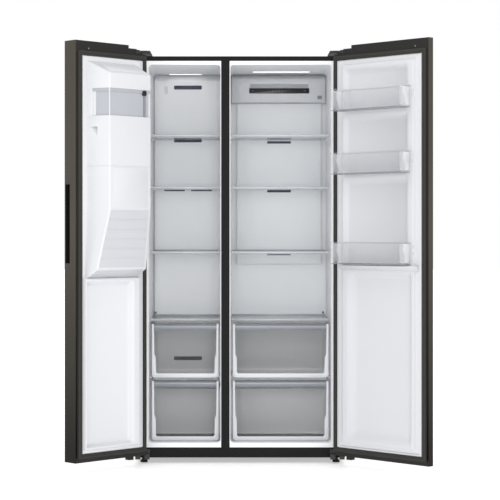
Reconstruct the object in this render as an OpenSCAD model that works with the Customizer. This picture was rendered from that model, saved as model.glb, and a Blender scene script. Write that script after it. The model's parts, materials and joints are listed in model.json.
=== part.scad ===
// Side by side refrigerator: a narrow freezer on the left, a wider fridge on the right, each behind
// its own hinged door. Millimetres, +Z up. The pieces are drawn in the cabinet's own frame (x = 0 at
// the middle of the cabinet, y = 0 at its front face with +y to the rear, z = 0 on the floor) and
// then moved so that the origin is under the middle of the whole object with both doors open.
// A door is drawn in its own frame: u runs from the hinge axis to the free edge, v from the hinge
// axis towards the inside of the door, z up.

/* [Cabinet] */
// Width of the cabinet
case_w = 908; // [904:1:912]
// Height of the cabinet's top
case_top = 1754; // [1750:1:1760]
// Depth of the cabinet without its doors
case_depth = 570; // [560:1:600]
// Width of the painted steel face round the cabinet's front
face_w = 20; // [16:1:26]
// Height of the underside of the base
base_z = 24; // [22:1:28]
// Height of the top of the dark band below the cavities
band_top = 68; // [64:1:72]
// Thickness of the steel sheets
sheet = 1.5; // [1:0.1:2]

/* [Cavities] */
// Left wall of the freezer cavity
freezer_x0 = -394; // [-396:1:-392]
// Right wall of the freezer cavity
freezer_x1 = -84; // [-88:1:-84]
// Left wall of the fridge cavity
fridge_x0 = -42; // [-42:1:-38]
// Right wall of the fridge cavity
fridge_x1 = 394; // [392:1:396]
// Height of the cavity floor
cavity_floor = 88; // [86:1:90]
// Height of the cavity ceiling
cavity_ceiling = 1718; // [1714:1:1722]
// Depth of the cavity above the compressor bay
cavity_back = 490; // [480:1:500]
// Depth of the cavity in front of the compressor bay
low_back = 345; // [340:1:350]
// Height of the ledge over the compressor bay
ledge_z = 290; // [285:1:300]
// Thickness of the plastic liners
liner_t = 2.5; // [2:0.1:3]
// Radius of the cavity corners
cavity_r = 14; // [8:1:20]

/* [Shelves and drawers] */
// Heights of the three glass shelves
shelf_z = [909, 1192, 1420]; // [880:1:1460]
// Height of the glass over the drawers
cover_z = 614; // [612:1:620]
// Distance of the shelf fronts behind the cabinet's face
shelf_front = 108; // [104:1:116]
// Thickness of the shelf glass
glass_t = 4; // [3:0.5:5]
// Underside and top of the lower drawers
lower_z = [90, 352]; // [88:1:360]
// Underside and top of the upper drawers
upper_z = [364, 600]; // [362:1:602]
// Distance of the drawer fronts behind the cabinet's face
drawer_front = 60; // [56:1:66]

/* [Doors] */
// Opening angle that the doors are drawn at
door_open = 135; // [0:5:135]
// Thickness of a door
door_t = 70; // [66:1:72]
// Gap between the back of a closed door and the cabinet
door_gap = 12; // [11:1:14]
// Underside of the doors
door_z0 = 46; // [44:1:48]
// Top of the doors
door_z1 = 1785; // [1780:1:1788]
// Distance of the free edge of the freezer door from its hinge axis
freezer_u = 376.5; // [374:0.5:377]
// Distance of the free edge of the fridge door from its hinge axis
fridge_u = 503; // [501:0.5:504]
// Distance of the hinge axis from the door's side and from its front
axis_in = [12, 22]; // [10:1:24]
// Depth of the gasket
gasket_h = 10; // [8:0.5:10.5]
// Width of the gasket
gasket_w = 19; // [16:1:20]
// Bevel at the free edge of the fridge door, across and through its thickness
bevel = [36, 42]; // [30:1:44]

/* [Ice and water] */
// Front of the ice housing, from the hinge axis towards the inside
housing_v = 155; // [150:1:156]
// Clear width and height of the dispenser niche
niche = [200, 320]; // [180:1:330]
// Height of the niche floor
niche_z = 860; // [855:1:870]

/* [Bins] */
// Heights of the undersides of the three door bins
bin_z = [863, 1238, 1504]; // [860:1:1510]
// Height of a door bin
bin_h = 90; // [80:1:100]

/* [Hidden] */
$fn = 48;

side_x = case_w / 2;
face_x = side_x - face_w;
case_front = sheet;
divider_x0 = freezer_x1 + liner_t;
divider_x1 = fridge_x0 - liner_t;
divider_depth = 14;
bay_front = 397;
bay_top = 250;
tray_z = 30;
past = 1; // how far a cutting shape runs past the face that it opens

// door frame
axis_x = side_x - axis_in[0];
hinge_v = door_t - axis_in[1];          // inner face of a door, from the axis
axis_y = -(hinge_v + door_gap);
front_v = -axis_in[1];
cap_h = 41;
low_cap_h = 24;
cap_steps = [[42, 1750], [87, 1772]];   // [u, top]: the door top is cut down beside its hinge
lip = 10;
door_liner_v = hinge_v + 3;
low_pad_v = 58;   // the liners' low pads stop short of the cabinet's face
door_liner_z = [82, 1724];
pin_r = 5;
pin_clear = 0.06;
boss_r = 10;
boss_depth = 34;

// handle slots in the free edges
slot_z = [868, 1192];
slot_v = [-16, 10];
slot_in = 30;
slot_wall = 2;

// dispenser
niche_u0 = 80;
niche_v = 104;
niche_wall = 2.5;
niche_u1 = niche_u0 + niche[0];
niche_top = niche_z + niche[1];
chute = [180, 40];
chute_r = 26;
outlet_v = 100;
paddle_axis = [76, 1150];
flap_axis = [72, 1171];

// ice housing: outline across the door, and its heights
housing_u0 = 60;
housing_u1 = 322;
housing_front_u1 = 282;
housing_low_u1 = 326;
housing_low_v = 125;
housing_z = [797, 841, 1090, 1650, 1704];
window_z = [1475, 1586];
auger = [135, 106];
bucket_floor = 1280;

// fan, foot and roller places
evap_fan = [-239, 462, 1000];
cond_fan = [-20, 484, 140];
foot = [416, 35];
roller = [400, 525, 15];

// middle of the whole object's plan with the doors open 135 degrees
half_turn = sqrt(0.5);
x_max = axis_x + half_turn * (fridge_u - bevel[0] - front_v);
x_min = -axis_x - half_turn * (freezer_u - front_v);
bin_u = [52, 432];
bin_v = [66, 150];
bin_r = 10;
y_min = axis_y - half_turn * (bin_u[1] + bin_v[1] - 2 * bin_r) - bin_r;
inlet_len = 16;
y_max = case_depth + inlet_len;
centre_x = (x_max + x_min) / 2;
centre_y = (y_max + y_min) / 2;

// ---- helpers ----

module placed() translate([-centre_x, -centre_y, 0]) children();

module box(low, high) translate(low) cube(high - low);

module mirrored_pair() {
    children();
    mirror([1, 0, 0]) children();
}

module left_door()
    placed() translate([-axis_x, axis_y, 0]) rotate([0, 0, -door_open]) children();

module right_door()
    placed() translate([axis_x, axis_y, 0]) rotate([0, 0, door_open]) mirror([1, 0, 0]) children();

// A rectangle with round corners, from true circles
module rounded_square(size, r) {
    translate([r, 0]) square([size[0] - 2 * r, size[1]]);
    translate([0, r]) square([size[0], size[1] - 2 * r]);
    for (x = [r, size[0] - r], y = [r, size[1] - r]) translate([x, y]) circle(r);
}

// A block along y whose four long edges are round
module rounded_bar(low, high, r)
    translate([low[0], high[1], low[2]]) rotate([90, 0, 0])
        linear_extrude(high[1] - low[1]) rounded_square([high[0] - low[0], high[2] - low[2]], r);

// A block along z whose four upright edges are round
module rounded_post(low, high, r)
    translate(low) linear_extrude(high[2] - low[2])
        rounded_square([high[0] - low[0], high[1] - low[1]], r);

// An outline in the v-z plane carried along u from u0 to u1
module along_u(u0, u1)
    translate([u0, 0, 0]) rotate([90, 0, 90]) linear_extrude(u1 - u0) children();

module cylinder_x(at, r, length) translate(at) rotate([0, 90, 0]) cylinder(r = r, h = length);

module cylinder_y(at, r, length) translate(at) rotate([-90, 0, 0]) cylinder(r = r, h = length);

// An open tub with a floor, and a lip that runs round its rim
module tub(low, high, wall, rim, r) {
    difference() {
        union() {
            rounded_post(low, high, r);
            rounded_post([low[0] - rim, low[1], high[2] - 2 * wall],
                         [high[0] + rim, high[1], high[2]], r);
        }
        rounded_post([low[0] + wall, low[1] + wall, low[2] + wall],
                     [high[0] - wall, high[1] - wall, high[2] + past], r - wall);
    }
}

// ---- cabinet shell ----

module side_sheet() {
    box([side_x - sheet, 0, base_z + 6], [side_x, case_depth, case_top]);
    box([face_x, 0, band_top], [side_x, sheet, case_top]);
    box([side_x - face_w, case_depth - sheet, bay_top + sheet], [side_x, case_depth, case_top]);
}

module side_panel_left() placed() color("#33302b") mirror([1, 0, 0]) side_sheet();

module side_panel_right() placed() color("#33302b") side_sheet();

module top_panel() placed() color("#262626") {
    box([-side_x + sheet, sheet, case_top - sheet],
        [side_x - sheet, case_depth - sheet, case_top]);
    box([-face_x, 0, case_top - face_w], [face_x, sheet, case_top]);
}

module rear_panel() placed() color("#8b8d90")
    box([-face_x, case_depth - sheet, bay_top + sheet], [face_x, case_depth, case_top]);

// The base: front band, floor sheet under the foam, side rails, and the compressor's tray and bay
module base_frame() placed() color("#2b2a28") {
    difference() {
        union() {
            box([-side_x + sheet, 0, base_z], [side_x - sheet, sheet, band_top]);
            box([-side_x + sheet, sheet, band_top - 2], [side_x - sheet, bay_front, band_top]);
            box([-side_x + sheet, bay_front, tray_z], [side_x - sheet, case_depth - 2, tray_z + 3]);
            box([-side_x + sheet, bay_front - 2, tray_z], [side_x - sheet, bay_front, bay_top]);
            box([-side_x + sheet, bay_front - 2, bay_top],
                [side_x - sheet, case_depth, bay_top + sheet]);
            mirrored_pair() {
                box([side_x - 68, sheet, band_top - 6], [side_x - sheet, 62, band_top - 2]);
                box([side_x - 70, sheet, base_z + 18], [side_x - 68, bay_front, band_top - 2]);
                for (x = [roller[0] - 16, roller[0] + 12])
                    box([x, roller[1] - 12, roller[2] - 8], [x + 4, roller[1] + 12, tray_z + 3]);
            }
        }
        mirrored_pair() {
            translate([foot[0], foot[1], base_z]) cylinder(r = pin_r + pin_clear, h = 60);
            cylinder_x([roller[0] - 30, roller[1], roller[2]], 3 + pin_clear, 60);
        }
    }
}

module divider_bar() placed() color("#262626")
    difference() {
        box([divider_x0, 0, band_top], [divider_x1, divider_depth, case_top - face_w]);
        box([divider_x0 + sheet, sheet, band_top + sheet],
            [divider_x1 - sheet, divider_depth + past, case_top - face_w - sheet]);
    }

// ---- cavities ----

// The hollow of one cavity, grown outwards by e: the upper part is deeper than the part in front
// of the compressor bay
module cavity_form(x0, x1, e, front) {
    r = cavity_r + e;
    rounded_bar([x0 - e, front, ledge_z - e], [x1 + e, cavity_back + e, cavity_ceiling + e], r);
    rounded_bar([x0 - e, front, cavity_floor - e], [x1 + e, low_back + e, ledge_z + 60], r);
}

// A liner: face flange, walls, and the moulded ledges that carry shelves and upper drawers
module cavity_liner(x0, x1, flange_x0, flange_x1, ledge_back) {
    difference() {
        union() {
            box([flange_x0, 0, band_top], [flange_x1, liner_t, case_top - face_w]);
            cavity_form(x0, x1, liner_t, 0);
        }
        cavity_form(x0, x1, 0, -past);
    }
    ledge_tops = concat([for (z = shelf_z) z - glass_t], [cover_z - glass_t, upper_z[0] - 2]);
    for (z = ledge_tops) {
        box([x0 - past, shelf_front + 14, z - 5], [x0 + 7, ledge_back, z]);
        box([x1 - 7, shelf_front + 14, z - 5], [x1 + past, ledge_back, z]);
    }
}

module freezer_liner() placed() color("#f2f3f5")
    cavity_liner(freezer_x0, freezer_x1, -face_x, divider_x0, 425);

module fridge_liner() placed() color("#f2f3f5")
    cavity_liner(fridge_x0, fridge_x1, divider_x1, face_x, 460);

module cabinet_insulation() placed() color("#e8dca8")
    difference() {
        box([-side_x + sheet, liner_t, band_top],
            [side_x - sheet, case_depth - sheet, case_top - sheet]);
        cavity_form(freezer_x0, freezer_x1, liner_t, 0);
        cavity_form(fridge_x0, fridge_x1, liner_t, 0);
        box([divider_x0, 0, band_top - past], [divider_x1, divider_depth, case_top - face_w]);
        box([-side_x, bay_front - 2, band_top - past], [side_x, case_depth, bay_top + sheet]);
    }

// A hollow cover on a cavity's back wall, open to the rear, with level air slots
module back_cover(low, high, wall, slots) {
    difference() {
        box(low, high);
        box(low + [wall, wall, wall], [high[0] - wall, high[1] + past, high[2] - wall]);
        for (s = slots)
            box([s[0], low[1] - past, s[2] - 7.5], [s[1], low[1] + wall + past, s[2] + 7.5]);
    }
}

module freezer_air_duct() placed() color("#dfe0e3")
    back_cover([freezer_x0 + 2, 438, ledge_z + cavity_r + 2],
               [freezer_x1 - 2, cavity_back, cavity_ceiling - 2 * cavity_r], 3,
               [[-300, -176, 1657], [-300, -176, 1413], [-345, -254, 1191], [-222, -130, 1191],
                [-300, -176, 420]]);

module fridge_air_duct() placed() color("#dfe0e3") {
    back_cover([-16, 468, 848], [374, cavity_back, 1586], 3,
               [[126, 232, 1410], [126, 232, 1184], [126, 232, 896]]);
    back_cover([fridge_x0 + 2, 430, 1586], [fridge_x1 - 2, cavity_back, 1700], 3, []);
}

// Two light bars on the ceilings and the dark control strip on the fridge's top housing
module lights_and_controls() placed() color("#fbfdff") {
    box([-326, 405, cavity_ceiling - 6], [-171, 437, cavity_ceiling]);
    box([54, 285, cavity_ceiling - 6], [315, 325, cavity_ceiling]);
    box([42, 426, 1629], [316, 430, 1653]);
}

// ---- shelves ----

module shelf_glass(x0, x1, z, back)
    box([x0 + 2, shelf_front + 12, z - glass_t], [x1 - 2, back, z]);

module freezer_shelf(n) placed() color("#cfe0e4", 0.5)
    shelf_glass(freezer_x0, freezer_x1, shelf_z[n], 434);

module fridge_shelf(n) placed() color("#cfe0e4", 0.5)
    shelf_glass(fridge_x0, fridge_x1, shelf_z[n], 464);

module freezer_shelf_top() freezer_shelf(2);

module freezer_shelf_middle() freezer_shelf(1);

module freezer_shelf_bottom() freezer_shelf(0);

module fridge_shelf_top() fridge_shelf(2);

module fridge_shelf_middle() fridge_shelf(1);

module fridge_shelf_bottom() fridge_shelf(0);

module drawer_covers() placed() color("#cfe0e4", 0.5) {
    shelf_glass(freezer_x0, freezer_x1, cover_z, 434);
    shelf_glass(fridge_x0, fridge_x1, cover_z, 464);
}

// A front rail for each glass: the glass ends against its back
module shelf_trims() placed() color("#eceef0")
    for (z = concat(shelf_z, [cover_z]), x = [[freezer_x0, freezer_x1], [fridge_x0, fridge_x1]])
        box([x[0] + 2, shelf_front, z - 10], [x[1] - 2, shelf_front + 12, z + 4]);

// ---- machine compartment and cold side ----

module compressor() placed() color("#1d1d1f") translate([-180, 484, tray_z + 3]) {
    for (x = [-72, 72], y = [-50, 50]) translate([x, y, 0]) cylinder(r = 11, h = 16);
    box([-86, -64, 16], [86, 64, 19]);
    translate([0, 0, 19]) rotate_extrude()
        difference() {
            union() {
                square([70, 110]);
                translate([0, 110]) circle(70 - 20);
                translate([0, 105]) square([50, 45]);
            }
            translate([-200, -100]) square([200, 400]);
            translate([-past, 150]) square([200, 200]);
        }
    cylinder_x([66, 0, 70], 5, 30);
    box([-96, -24, 50], [-66, 24, 110]);
}

// A flat tube coil: level runs joined by half-round bends
module tube_coil(x0, x1, z0, pitch, runs, r) {
    for (i = [0 : runs - 1]) translate([0, 0, z0 + i * pitch]) {
        cylinder_x([x0, 0, 0], r, x1 - x0);
        if (i < runs - 1)
            translate([i % 2 == 0 ? x1 : x0, 0, pitch / 2])
                rotate([90, i % 2 == 0 ? 90 : -90, 0])
                    rotate_extrude(angle = 180) translate([pitch / 2, 0]) circle(r);
    }
}

// Three rows of tube standing on the tray, tied by two end plates
module condenser_coil() placed() color("#2a2a2c") {
    for (y = [440, 480, 520]) translate([0, y, 0]) tube_coil(110, 330, tray_z + 25, 26, 7, 3.2);
    for (x = [140, 300]) box([x, 430, tray_z + 3], [x + 1.5, 530, tray_z + 192]);
}

module evaporator() placed() color("#b9bdc2") {
    for (y = [456, 474]) translate([0, y, 0]) tube_coil(-360, -118, 640, 36, 6, 4);
    for (i = [0 : 21]) box([-358 + i * 11.3, 447, 632], [-357 + i * 11.3, 484, 828]);
}

// Motors and brackets of the two fans
module fan_motors() placed() color("#3b3c3f") {
    cylinder_y([evap_fan[0], 471, evap_fan[2]], 22, cavity_back - 471);
    translate(cond_fan) {
        difference() {
            box([-16, -82, tray_z + 3 - cond_fan[2]], [-12, 82, 80]);
            cylinder_x([-20, 0, 0], 70, 20);
        }
        cylinder_x([-40, 0, 0], 20, 26);
        for (a = [45, 165, 285]) rotate([a, 0, 0]) box([-16, 0, -3], [-14, 76, 3]);
    }
}

// A bladed wheel about z with a blind shaft socket
module fan_wheel(r, hub_r, h, blades, tilt) {
    cylinder(r = hub_r, h = h);
    for (i = [0 : blades - 1]) rotate([0, 0, i * 360 / blades])
        translate([hub_r - 3, 0, h / 2]) rotate([tilt, 0, 0])
            box([0, -hub_r, -0.8], [r - hub_r + 3, hub_r, 0.8]);
}

module evaporator_fan() placed() color("#d9dbde")
    translate([evap_fan[0], 468, evap_fan[2]]) rotate([90, 0, 0]) fan_wheel(52, 16, 16, 5, 30);

module condenser_fan() placed() color("#4a4b4e")
    translate(cond_fan + [-11, 0, 0]) rotate([0, 90, 0]) fan_wheel(62, 18, 22, 5, 32);

// Sheet that closes the bay, with air slots, the valve's window and the gland's hole
module rear_cover() placed() color("#55575a")
    difference() {
        box([-side_x + sheet, case_depth - 2, tray_z + 3], [side_x - sheet, case_depth, bay_top]);
        for (x = [-330 : 110 : 330], z = [66 : 22 : 220])
            if (abs(x) < 340 && !(x > 200 && z > 120))
                box([x - 36, case_depth - 5, z - 4], [x + 36, case_depth + past, z + 4]);
        box([342, case_depth - 5, 150], [398, case_depth + past, 200]);
        cylinder_y([-410, case_depth - 5, 60], 9, 10);
    }

// Water valve: block inside the cover and a male thread that stands out to the rear
module water_inlet_valve() placed() color("#d8dade") {
    box([346, case_depth - 40, 154], [394, case_depth - 3, 196]);
    cylinder_y([370, case_depth - 4, 175], 16, 5);
    cylinder_y([370, case_depth, 175], 13.2, inlet_len);
    for (x = [352, 376]) box([x, case_depth - 66, 160], [x + 12, case_depth - 40, 190]);
}

// Round gland for the mains lead
module cord_gland() placed() color("#1b1b1c")
    difference() {
        union() {
            cylinder_y([-410, case_depth - 12, 60], 8.9, 16);
            cylinder_y([-410, case_depth, 60], 13, 4);
            cylinder_y([-410, case_depth - 12, 60], 12, 8);
        }
        cylinder_y([-410, case_depth - 20, 60], 4, 30);
    }

// ---- hinges and feet ----

// Top plate with its pin down, and bottom plate with its pin up and a bearing collar
module hinge_set() {
    difference() {
        union() {
            box([axis_x - 62, 6, case_top], [axis_x + 8, 84, case_top + 4]);
            box([axis_x - 12, axis_y, case_top], [axis_x + 8, 6, case_top + 4]);
            translate([axis_x, axis_y, case_top]) cylinder(r = 12, h = 4);
            translate([axis_x, axis_y, case_top - boss_depth]) cylinder(r = pin_r, h = boss_depth);
        }
        translate([axis_x - 4, 20, case_top + 2]) cylinder(r = 2.5, h = 4);
    }
    box([side_x - 66, -4, base_z + 14], [side_x - 2, 0, band_top - 8]);
    box([side_x - 66, -30, base_z + 14], [side_x - 2, 0, base_z + 18]);
    box([axis_x - boss_r, axis_y, base_z + 14], [axis_x + boss_r, -30, base_z + 18]);
    for (x = [side_x - 66, side_x - 26])
        box([x, -28, base_z - 5], [x + 22, -14, base_z + 14]);
    translate([axis_x, axis_y, base_z + 14]) {
        cylinder(r = boss_r, h = 4);
        cylinder(r = 9, h = 7.6);
        cylinder(r = pin_r, h = 28);
    }
}

module hinge_brackets() placed() color("#6d6f72") mirrored_pair() hinge_set();

// Cover over the top plate: a cap on the cabinet and a rounded arm over the pin
module hinge_cover() {
    difference() {
        union() {
            rounded_post([axis_x - 66, 2, case_top], [axis_x + 10, 90, case_top + 25], 9);
            rounded_post([axis_x - 15, axis_y - 10, case_top + 1],
                         [axis_x + 10, 20, case_top + 21], 9);
        }
        box([axis_x - 62, 6, case_top - past], [axis_x + 8, 84, case_top + 4]);
        box([axis_x - 12, axis_y, case_top - past], [axis_x + 8, 8, case_top + 4]);
        translate([axis_x, axis_y, case_top - past]) cylinder(r = 12, h = 5);
    }
}

module hinge_covers() placed() color("#1f1f1f") mirrored_pair() hinge_cover();

module levelling_foot() {
    cylinder(r = 16, h = 12);
    cylinder(r = pin_r, h = band_top - 3);
    translate([0, 0, 12]) cylinder(r = 9, h = 8, $fn = 6);
}

module foot_left() placed() color("#141414") translate([-foot[0], foot[1], 0]) levelling_foot();

module foot_right() placed() color("#141414") translate([foot[0], foot[1], 0]) levelling_foot();

// Two wheels on short axles between the ears of the base
module rear_rollers() placed() color("#3a3a3a")
    for (side = [-1, 1]) translate([side * roller[0], roller[1], roller[2]]) {
        cylinder_x([-11, 0, 0], roller[2], 22);
        cylinder_x([-16, 0, 0], 3, 32);
    }

// ---- doors ----

// Plan of a door, drawn in by e; cut = [0, 0] leaves the free edge square
function door_points(end, cut, e) =
    let (slant = norm(cut), v0 = front_v + e, v1 = hinge_v)
    concat(
        [[-axis_in[0] + e, v1], [-axis_in[0] + e, v0]],
        slant == 0 ? [[end - e, v0]] : [
            [end - cut[0] + e * (cut[0] - slant) / cut[1], v0],
            [end - e, front_v + cut[1] + e * (slant - cut[1]) / cut[0]]],
        [[end - e, v1]]);

module door_block(end, cut, e, z0, z1)
    translate([0, 0, z0]) linear_extrude(z1 - z0) polygon(door_points(end, cut, e));

// What is taken off the top of a door beside its hinge
module hinge_steps()
    for (s = cap_steps)
        box([-axis_in[0] - past, front_v - past, s[1]], [s[0], hinge_v + past, door_z1 + past]);

// The hollow behind a handle slot, from the free edge inwards, grown by e
module handle_hollow(end, cut, e)
    box([end - cut[0] / 2 - slot_in - e, slot_v[0] - e, slot_z[0] - e],
        [end + 4, slot_v[1] + e, slot_z[1] + e]);

// Folded steel skin: front, both edges and the lips on the inner face
module door_skin(end, cut) {
    difference() {
        door_block(end, cut, 0, door_z0, door_z1);
        difference() {
            door_block(end, cut, sheet, door_z0 - past, door_z1 + past);
            for (u = [[-axis_in[0], -axis_in[0] + lip], [end - lip, end]])
                box([u[0], hinge_v - sheet, door_z0 + low_cap_h],
                    [u[1], hinge_v, door_z1 - cap_h]);
        }
        hinge_steps();
        handle_hollow(end, cut, slot_wall);
        translate([0, hinge_v, 0]) box([-50, 0, 0], [end + 50, 5, door_z1 + past]);
    }
}

// Moulded caps at both ends, each with a bored boss for its hinge pin, and the handle's cup
module door_trim(end, cut) {
    bore = pin_r + pin_clear;
    difference() {
        union() {
            door_block(end, cut, sheet, door_z1 - cap_h, door_z1);
            translate([0, 0, case_top - boss_depth - 6]) cylinder(r = boss_r, h = boss_depth);
        }
        hinge_steps();
        translate([0, 0, case_top - boss_depth - 2]) cylinder(r = bore, h = boss_depth + 20);
    }
    difference() {
        union() {
            door_block(end, cut, sheet, door_z0, door_z0 + low_cap_h);
            translate([0, 0, door_z0]) cylinder(r = boss_r, h = low_cap_h + 6);
            box([40, 2, door_z0 - 17], [66, 26, door_z0]);
        }
        translate([0, 0, door_z0 - past]) cylinder(r = bore, h = low_cap_h);
    }
    difference() {
        intersection() {
            handle_hollow(end, cut, slot_wall);
            door_block(end, cut, 0, door_z0, door_z1);
        }
        handle_hollow(end, cut, 0);
    }
}

// Foam between the skin and the liner, less the caps' bosses and the handle's cup
module door_foam(end, cut) {
    difference() {
        door_block(end, cut, sheet, door_z0 + low_cap_h, door_z1 - cap_h);
        for (u = [[-axis_in[0] - past, -axis_in[0] + lip], [end - lip, end + past]])
            box([u[0], hinge_v - sheet, door_z0], [u[1], hinge_v + past, door_z1]);
        translate([0, 0, door_z0]) cylinder(r = boss_r, h = low_cap_h + 6);
        translate([0, 0, case_top - boss_depth - 6]) cylinder(r = boss_r, h = boss_depth);
        handle_hollow(end, cut, slot_wall);
        children();
    }
}

// Magnetic gasket: a square ring round the liner
module door_seal(end) {
    u0 = -axis_in[0] + 6;
    u1 = end - lip;
    difference() {
        box([u0, hinge_v, door_liner_z[0] - gasket_w],
            [u1, hinge_v + gasket_h, door_liner_z[1] + gasket_w]);
        box([u0 + gasket_w, hinge_v - past, door_liner_z[0]],
            [u1 - gasket_w, hinge_v + gasket_h + past, door_liner_z[1]]);
    }
}

module liner_plate(end)
    box([-axis_in[0] + 6 + gasket_w, hinge_v, door_liner_z[0]],
        [end - lip - gasket_w, door_liner_v, door_liner_z[1]]);

// ---- freezer door ----

// The room that the dispenser takes in the door, grown by e
module niche_room(e)
    box([niche_u0 - e, front_v - 5, niche_z - e], [niche_u1 + e, niche_v + e, niche_top + e]);

module panel_room(e)
    box([niche_u0 - e, front_v - 5, niche_top + 14 - e],
        [niche_u1 + e, front_v + 9, niche_top + 104 + e]);

// A slanted round passage from the bucket's outlet to the niche's ceiling
module chute_tube(r) {
    rise = bucket_floor - 18 - niche_top;
    lean = atan2(outlet_v - chute[1], rise);
    intersection() {
        translate([chute[0], chute[1], niche_top]) rotate([-lean, 0, 0])
            translate([0, 0, -40]) cylinder(r = r, h = 200);
        box([0, -100, niche_top - niche_wall - past], [400, 200, bucket_floor - 2]);
    }
}

module freezer_door_panel() left_door() color("#4f4c46")
    difference() {
        door_skin(freezer_u, [0, 0]);
        niche_room(niche_wall);
        panel_room(0.5);
    }

module freezer_door_trim() left_door() color("#33322f") door_trim(freezer_u, [0, 0]);

module freezer_door_insulation() left_door() color("#e8dca8")
    door_foam(freezer_u, [0, 0]) {
        niche_room(niche_wall);
        panel_room(0.5);
        chute_tube(chute_r + 4);
    }

// Liner of the freezer door: flat behind the ice housing, a raised frame below it
module freezer_door_liner() left_door() color("#f4f5f7")
    difference() {
        union() {
            liner_plate(freezer_u);
            box([34, door_liner_v, 93], [347, low_pad_v, housing_z[0] - 4]);
            box([51, door_liner_v, 104], [344, 72, housing_z[0] - 4]);
        }
        along_u(81, 338)
            polygon([[door_liner_v + 3, 124], [door_liner_v + 3, housing_z[0] - 30],
                     [80, housing_z[0] - 4], [80, 106]]);
        niche_room(niche_wall);
        chute_tube(chute_r + 4);
    }

module freezer_door_gasket() left_door() color("#4e4e50") door_seal(freezer_u);

// Plan of the ice housing, drawn in by e
module housing_plan(e, u1, v1, base_u1)
    polygon([[housing_u0 + e, door_liner_v], [base_u1 - e, door_liner_v], [u1 - e, v1 - e],
             [housing_u0 + e, v1 - e]]);

// Ice housing form drawn in by e: an upright part under a sloping top, a part that falls back and
// widens, and a sloping underside
module housing_form(e) {
    intersection() {
        translate([0, 0, housing_z[2]]) linear_extrude(housing_z[4] - housing_z[2])
            housing_plan(e, housing_front_u1, housing_v, housing_u1);
        along_u(0, 400)
            polygon([[0, housing_z[2] - past], [200, housing_z[2] - past],
                     [200, housing_z[3] - 23 - e], [housing_v, housing_z[3] - e],
                     [door_liner_v, housing_z[4] - e], [0, housing_z[4] - e]]);
    }
    hull() {
        translate([0, 0, housing_z[2]]) linear_extrude(0.01)
            housing_plan(e, housing_front_u1, housing_v, housing_u1);
        translate([0, 0, housing_z[1]]) linear_extrude(0.01)
            housing_plan(e, housing_low_u1, housing_low_v, housing_low_u1 + 12);
    }
    hull() {
        translate([0, 0, housing_z[1]]) linear_extrude(0.01)
            housing_plan(e, housing_low_u1, housing_low_v, housing_low_u1 + 12);
        box([housing_u0 + e, door_liner_v, housing_z[0] + e],
            [housing_low_u1 + 12 - e, door_liner_v + 1, housing_z[0] + e + 1]);
    }
}

module ice_housing() left_door() color("#f6f7f9")
    difference() {
        housing_form(0);
        housing_form(3);
        box([housing_u0 + 14, door_liner_v + 22, window_z[0]], [320, housing_v + 5, window_z[1]]);
    }

// Ice maker over the bucket, and the motor that turns the auger from below
module ice_maker() left_door() color("#c9cccf") {
    box([80, door_liner_v + 1, 1596], [264, 130, 1640]);
    box([86, door_liner_v + 1, 1640], [150, 110, 1656]);
    box([auger[0] - 38, auger[1] - 28, bucket_floor - 50],
        [auger[0] + 12, auger[1] + 28, bucket_floor - 18]);
}

module ice_bucket() left_door() color("#c3c8cc", 0.6)
    difference() {
        tub([66, 58, bucket_floor], [272, 149, window_z[1] - 3], 3, 0, 8);
        translate([auger[0], auger[1], bucket_floor - past])
            cylinder(r = pin_r + pin_clear, h = 10);
        translate([chute[0], outlet_v, bucket_floor - past]) cylinder(r = 22, h = 10);
    }

// Stirring auger: an upright shaft with bars at four heights
module ice_auger() left_door() color("#b4b8bc") translate([auger[0], auger[1], 0]) {
    translate([0, 0, bucket_floor - 15]) cylinder(r = pin_r, h = 235);
    for (i = [0 : 3]) translate([0, 0, bucket_floor + 24 + 55 * i]) rotate([0, 0, 45 * i])
        cylinder_x([-38, 0, 0], 3, 76);
}

// Niche in the door's front: walls, back, ceiling with the ice chute, and a bezel
module dispenser_recess() left_door() color("#26282b")
    difference() {
        union() {
            intersection() {
                niche_room(niche_wall);
                box([0, front_v, 0], [400, 200, 2000]);
            }
            box([niche_u0 - 8, front_v - 2, niche_z - 8],
                [niche_u1 + 8, front_v, niche_top + 10]);
            chute_tube(chute_r + 3);
        }
        box([niche_u0, front_v - 5, niche_z], [niche_u1, niche_v, niche_top]);
        chute_tube(chute_r);
    }

// Touch display over the niche
module dispenser_panel() left_door() color("#101114")
    box([niche_u0, front_v - 2, niche_top + 14], [niche_u1, front_v + 8, niche_top + 104]);

module drip_tray() left_door() color("#3a3c40")
    difference() {
        box([niche_u0 + 6, front_v + 8, niche_z], [niche_u1 - 6, 60, niche_z + 16]);
        for (i = [0 : 8])
            box([niche_u0 + 14 + 20 * i, front_v + 16, niche_z + 5],
                [niche_u0 + 26 + 20 * i, 52, niche_z + 20]);
    }

// Lever that a glass pushes back
module dispenser_paddle() left_door() color("#5b5e63") {
    along_u(chute[0] - 26, chute[0] + 26)
        polygon([[paddle_axis[0] - 2, paddle_axis[1]], [paddle_axis[0] + 2, paddle_axis[1]],
                 [paddle_axis[0] + 2, paddle_axis[1] - 150],
                 [paddle_axis[0] - 8, paddle_axis[1] - 164],
                 [paddle_axis[0] - 10, paddle_axis[1] - 161],
                 [paddle_axis[0] - 2, paddle_axis[1] - 147]]);
    cylinder_x([chute[0] - 30, paddle_axis[0], paddle_axis[1]], 3.5, 60);
}

// Flap that shuts the chute from below
module ice_flap() left_door() color("#8c9095") {
    translate([chute[0], chute[1] + 1, flap_axis[1] + 1]) cylinder(r = chute_r + 3, h = 3);
    cylinder_x([chute[0] - 24, flap_axis[0], flap_axis[1]], 3, 48);
    box([chute[0] - 10, chute[1] + 20, flap_axis[1] + 1],
        [chute[0] + 10, flap_axis[0], flap_axis[1] + 3]);
}

// ---- fridge door ----

module fridge_door_panel() right_door() color("#4f4c46") door_skin(fridge_u, bevel);

module fridge_door_trim() right_door() color("#33322f") door_trim(fridge_u, bevel);

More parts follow.
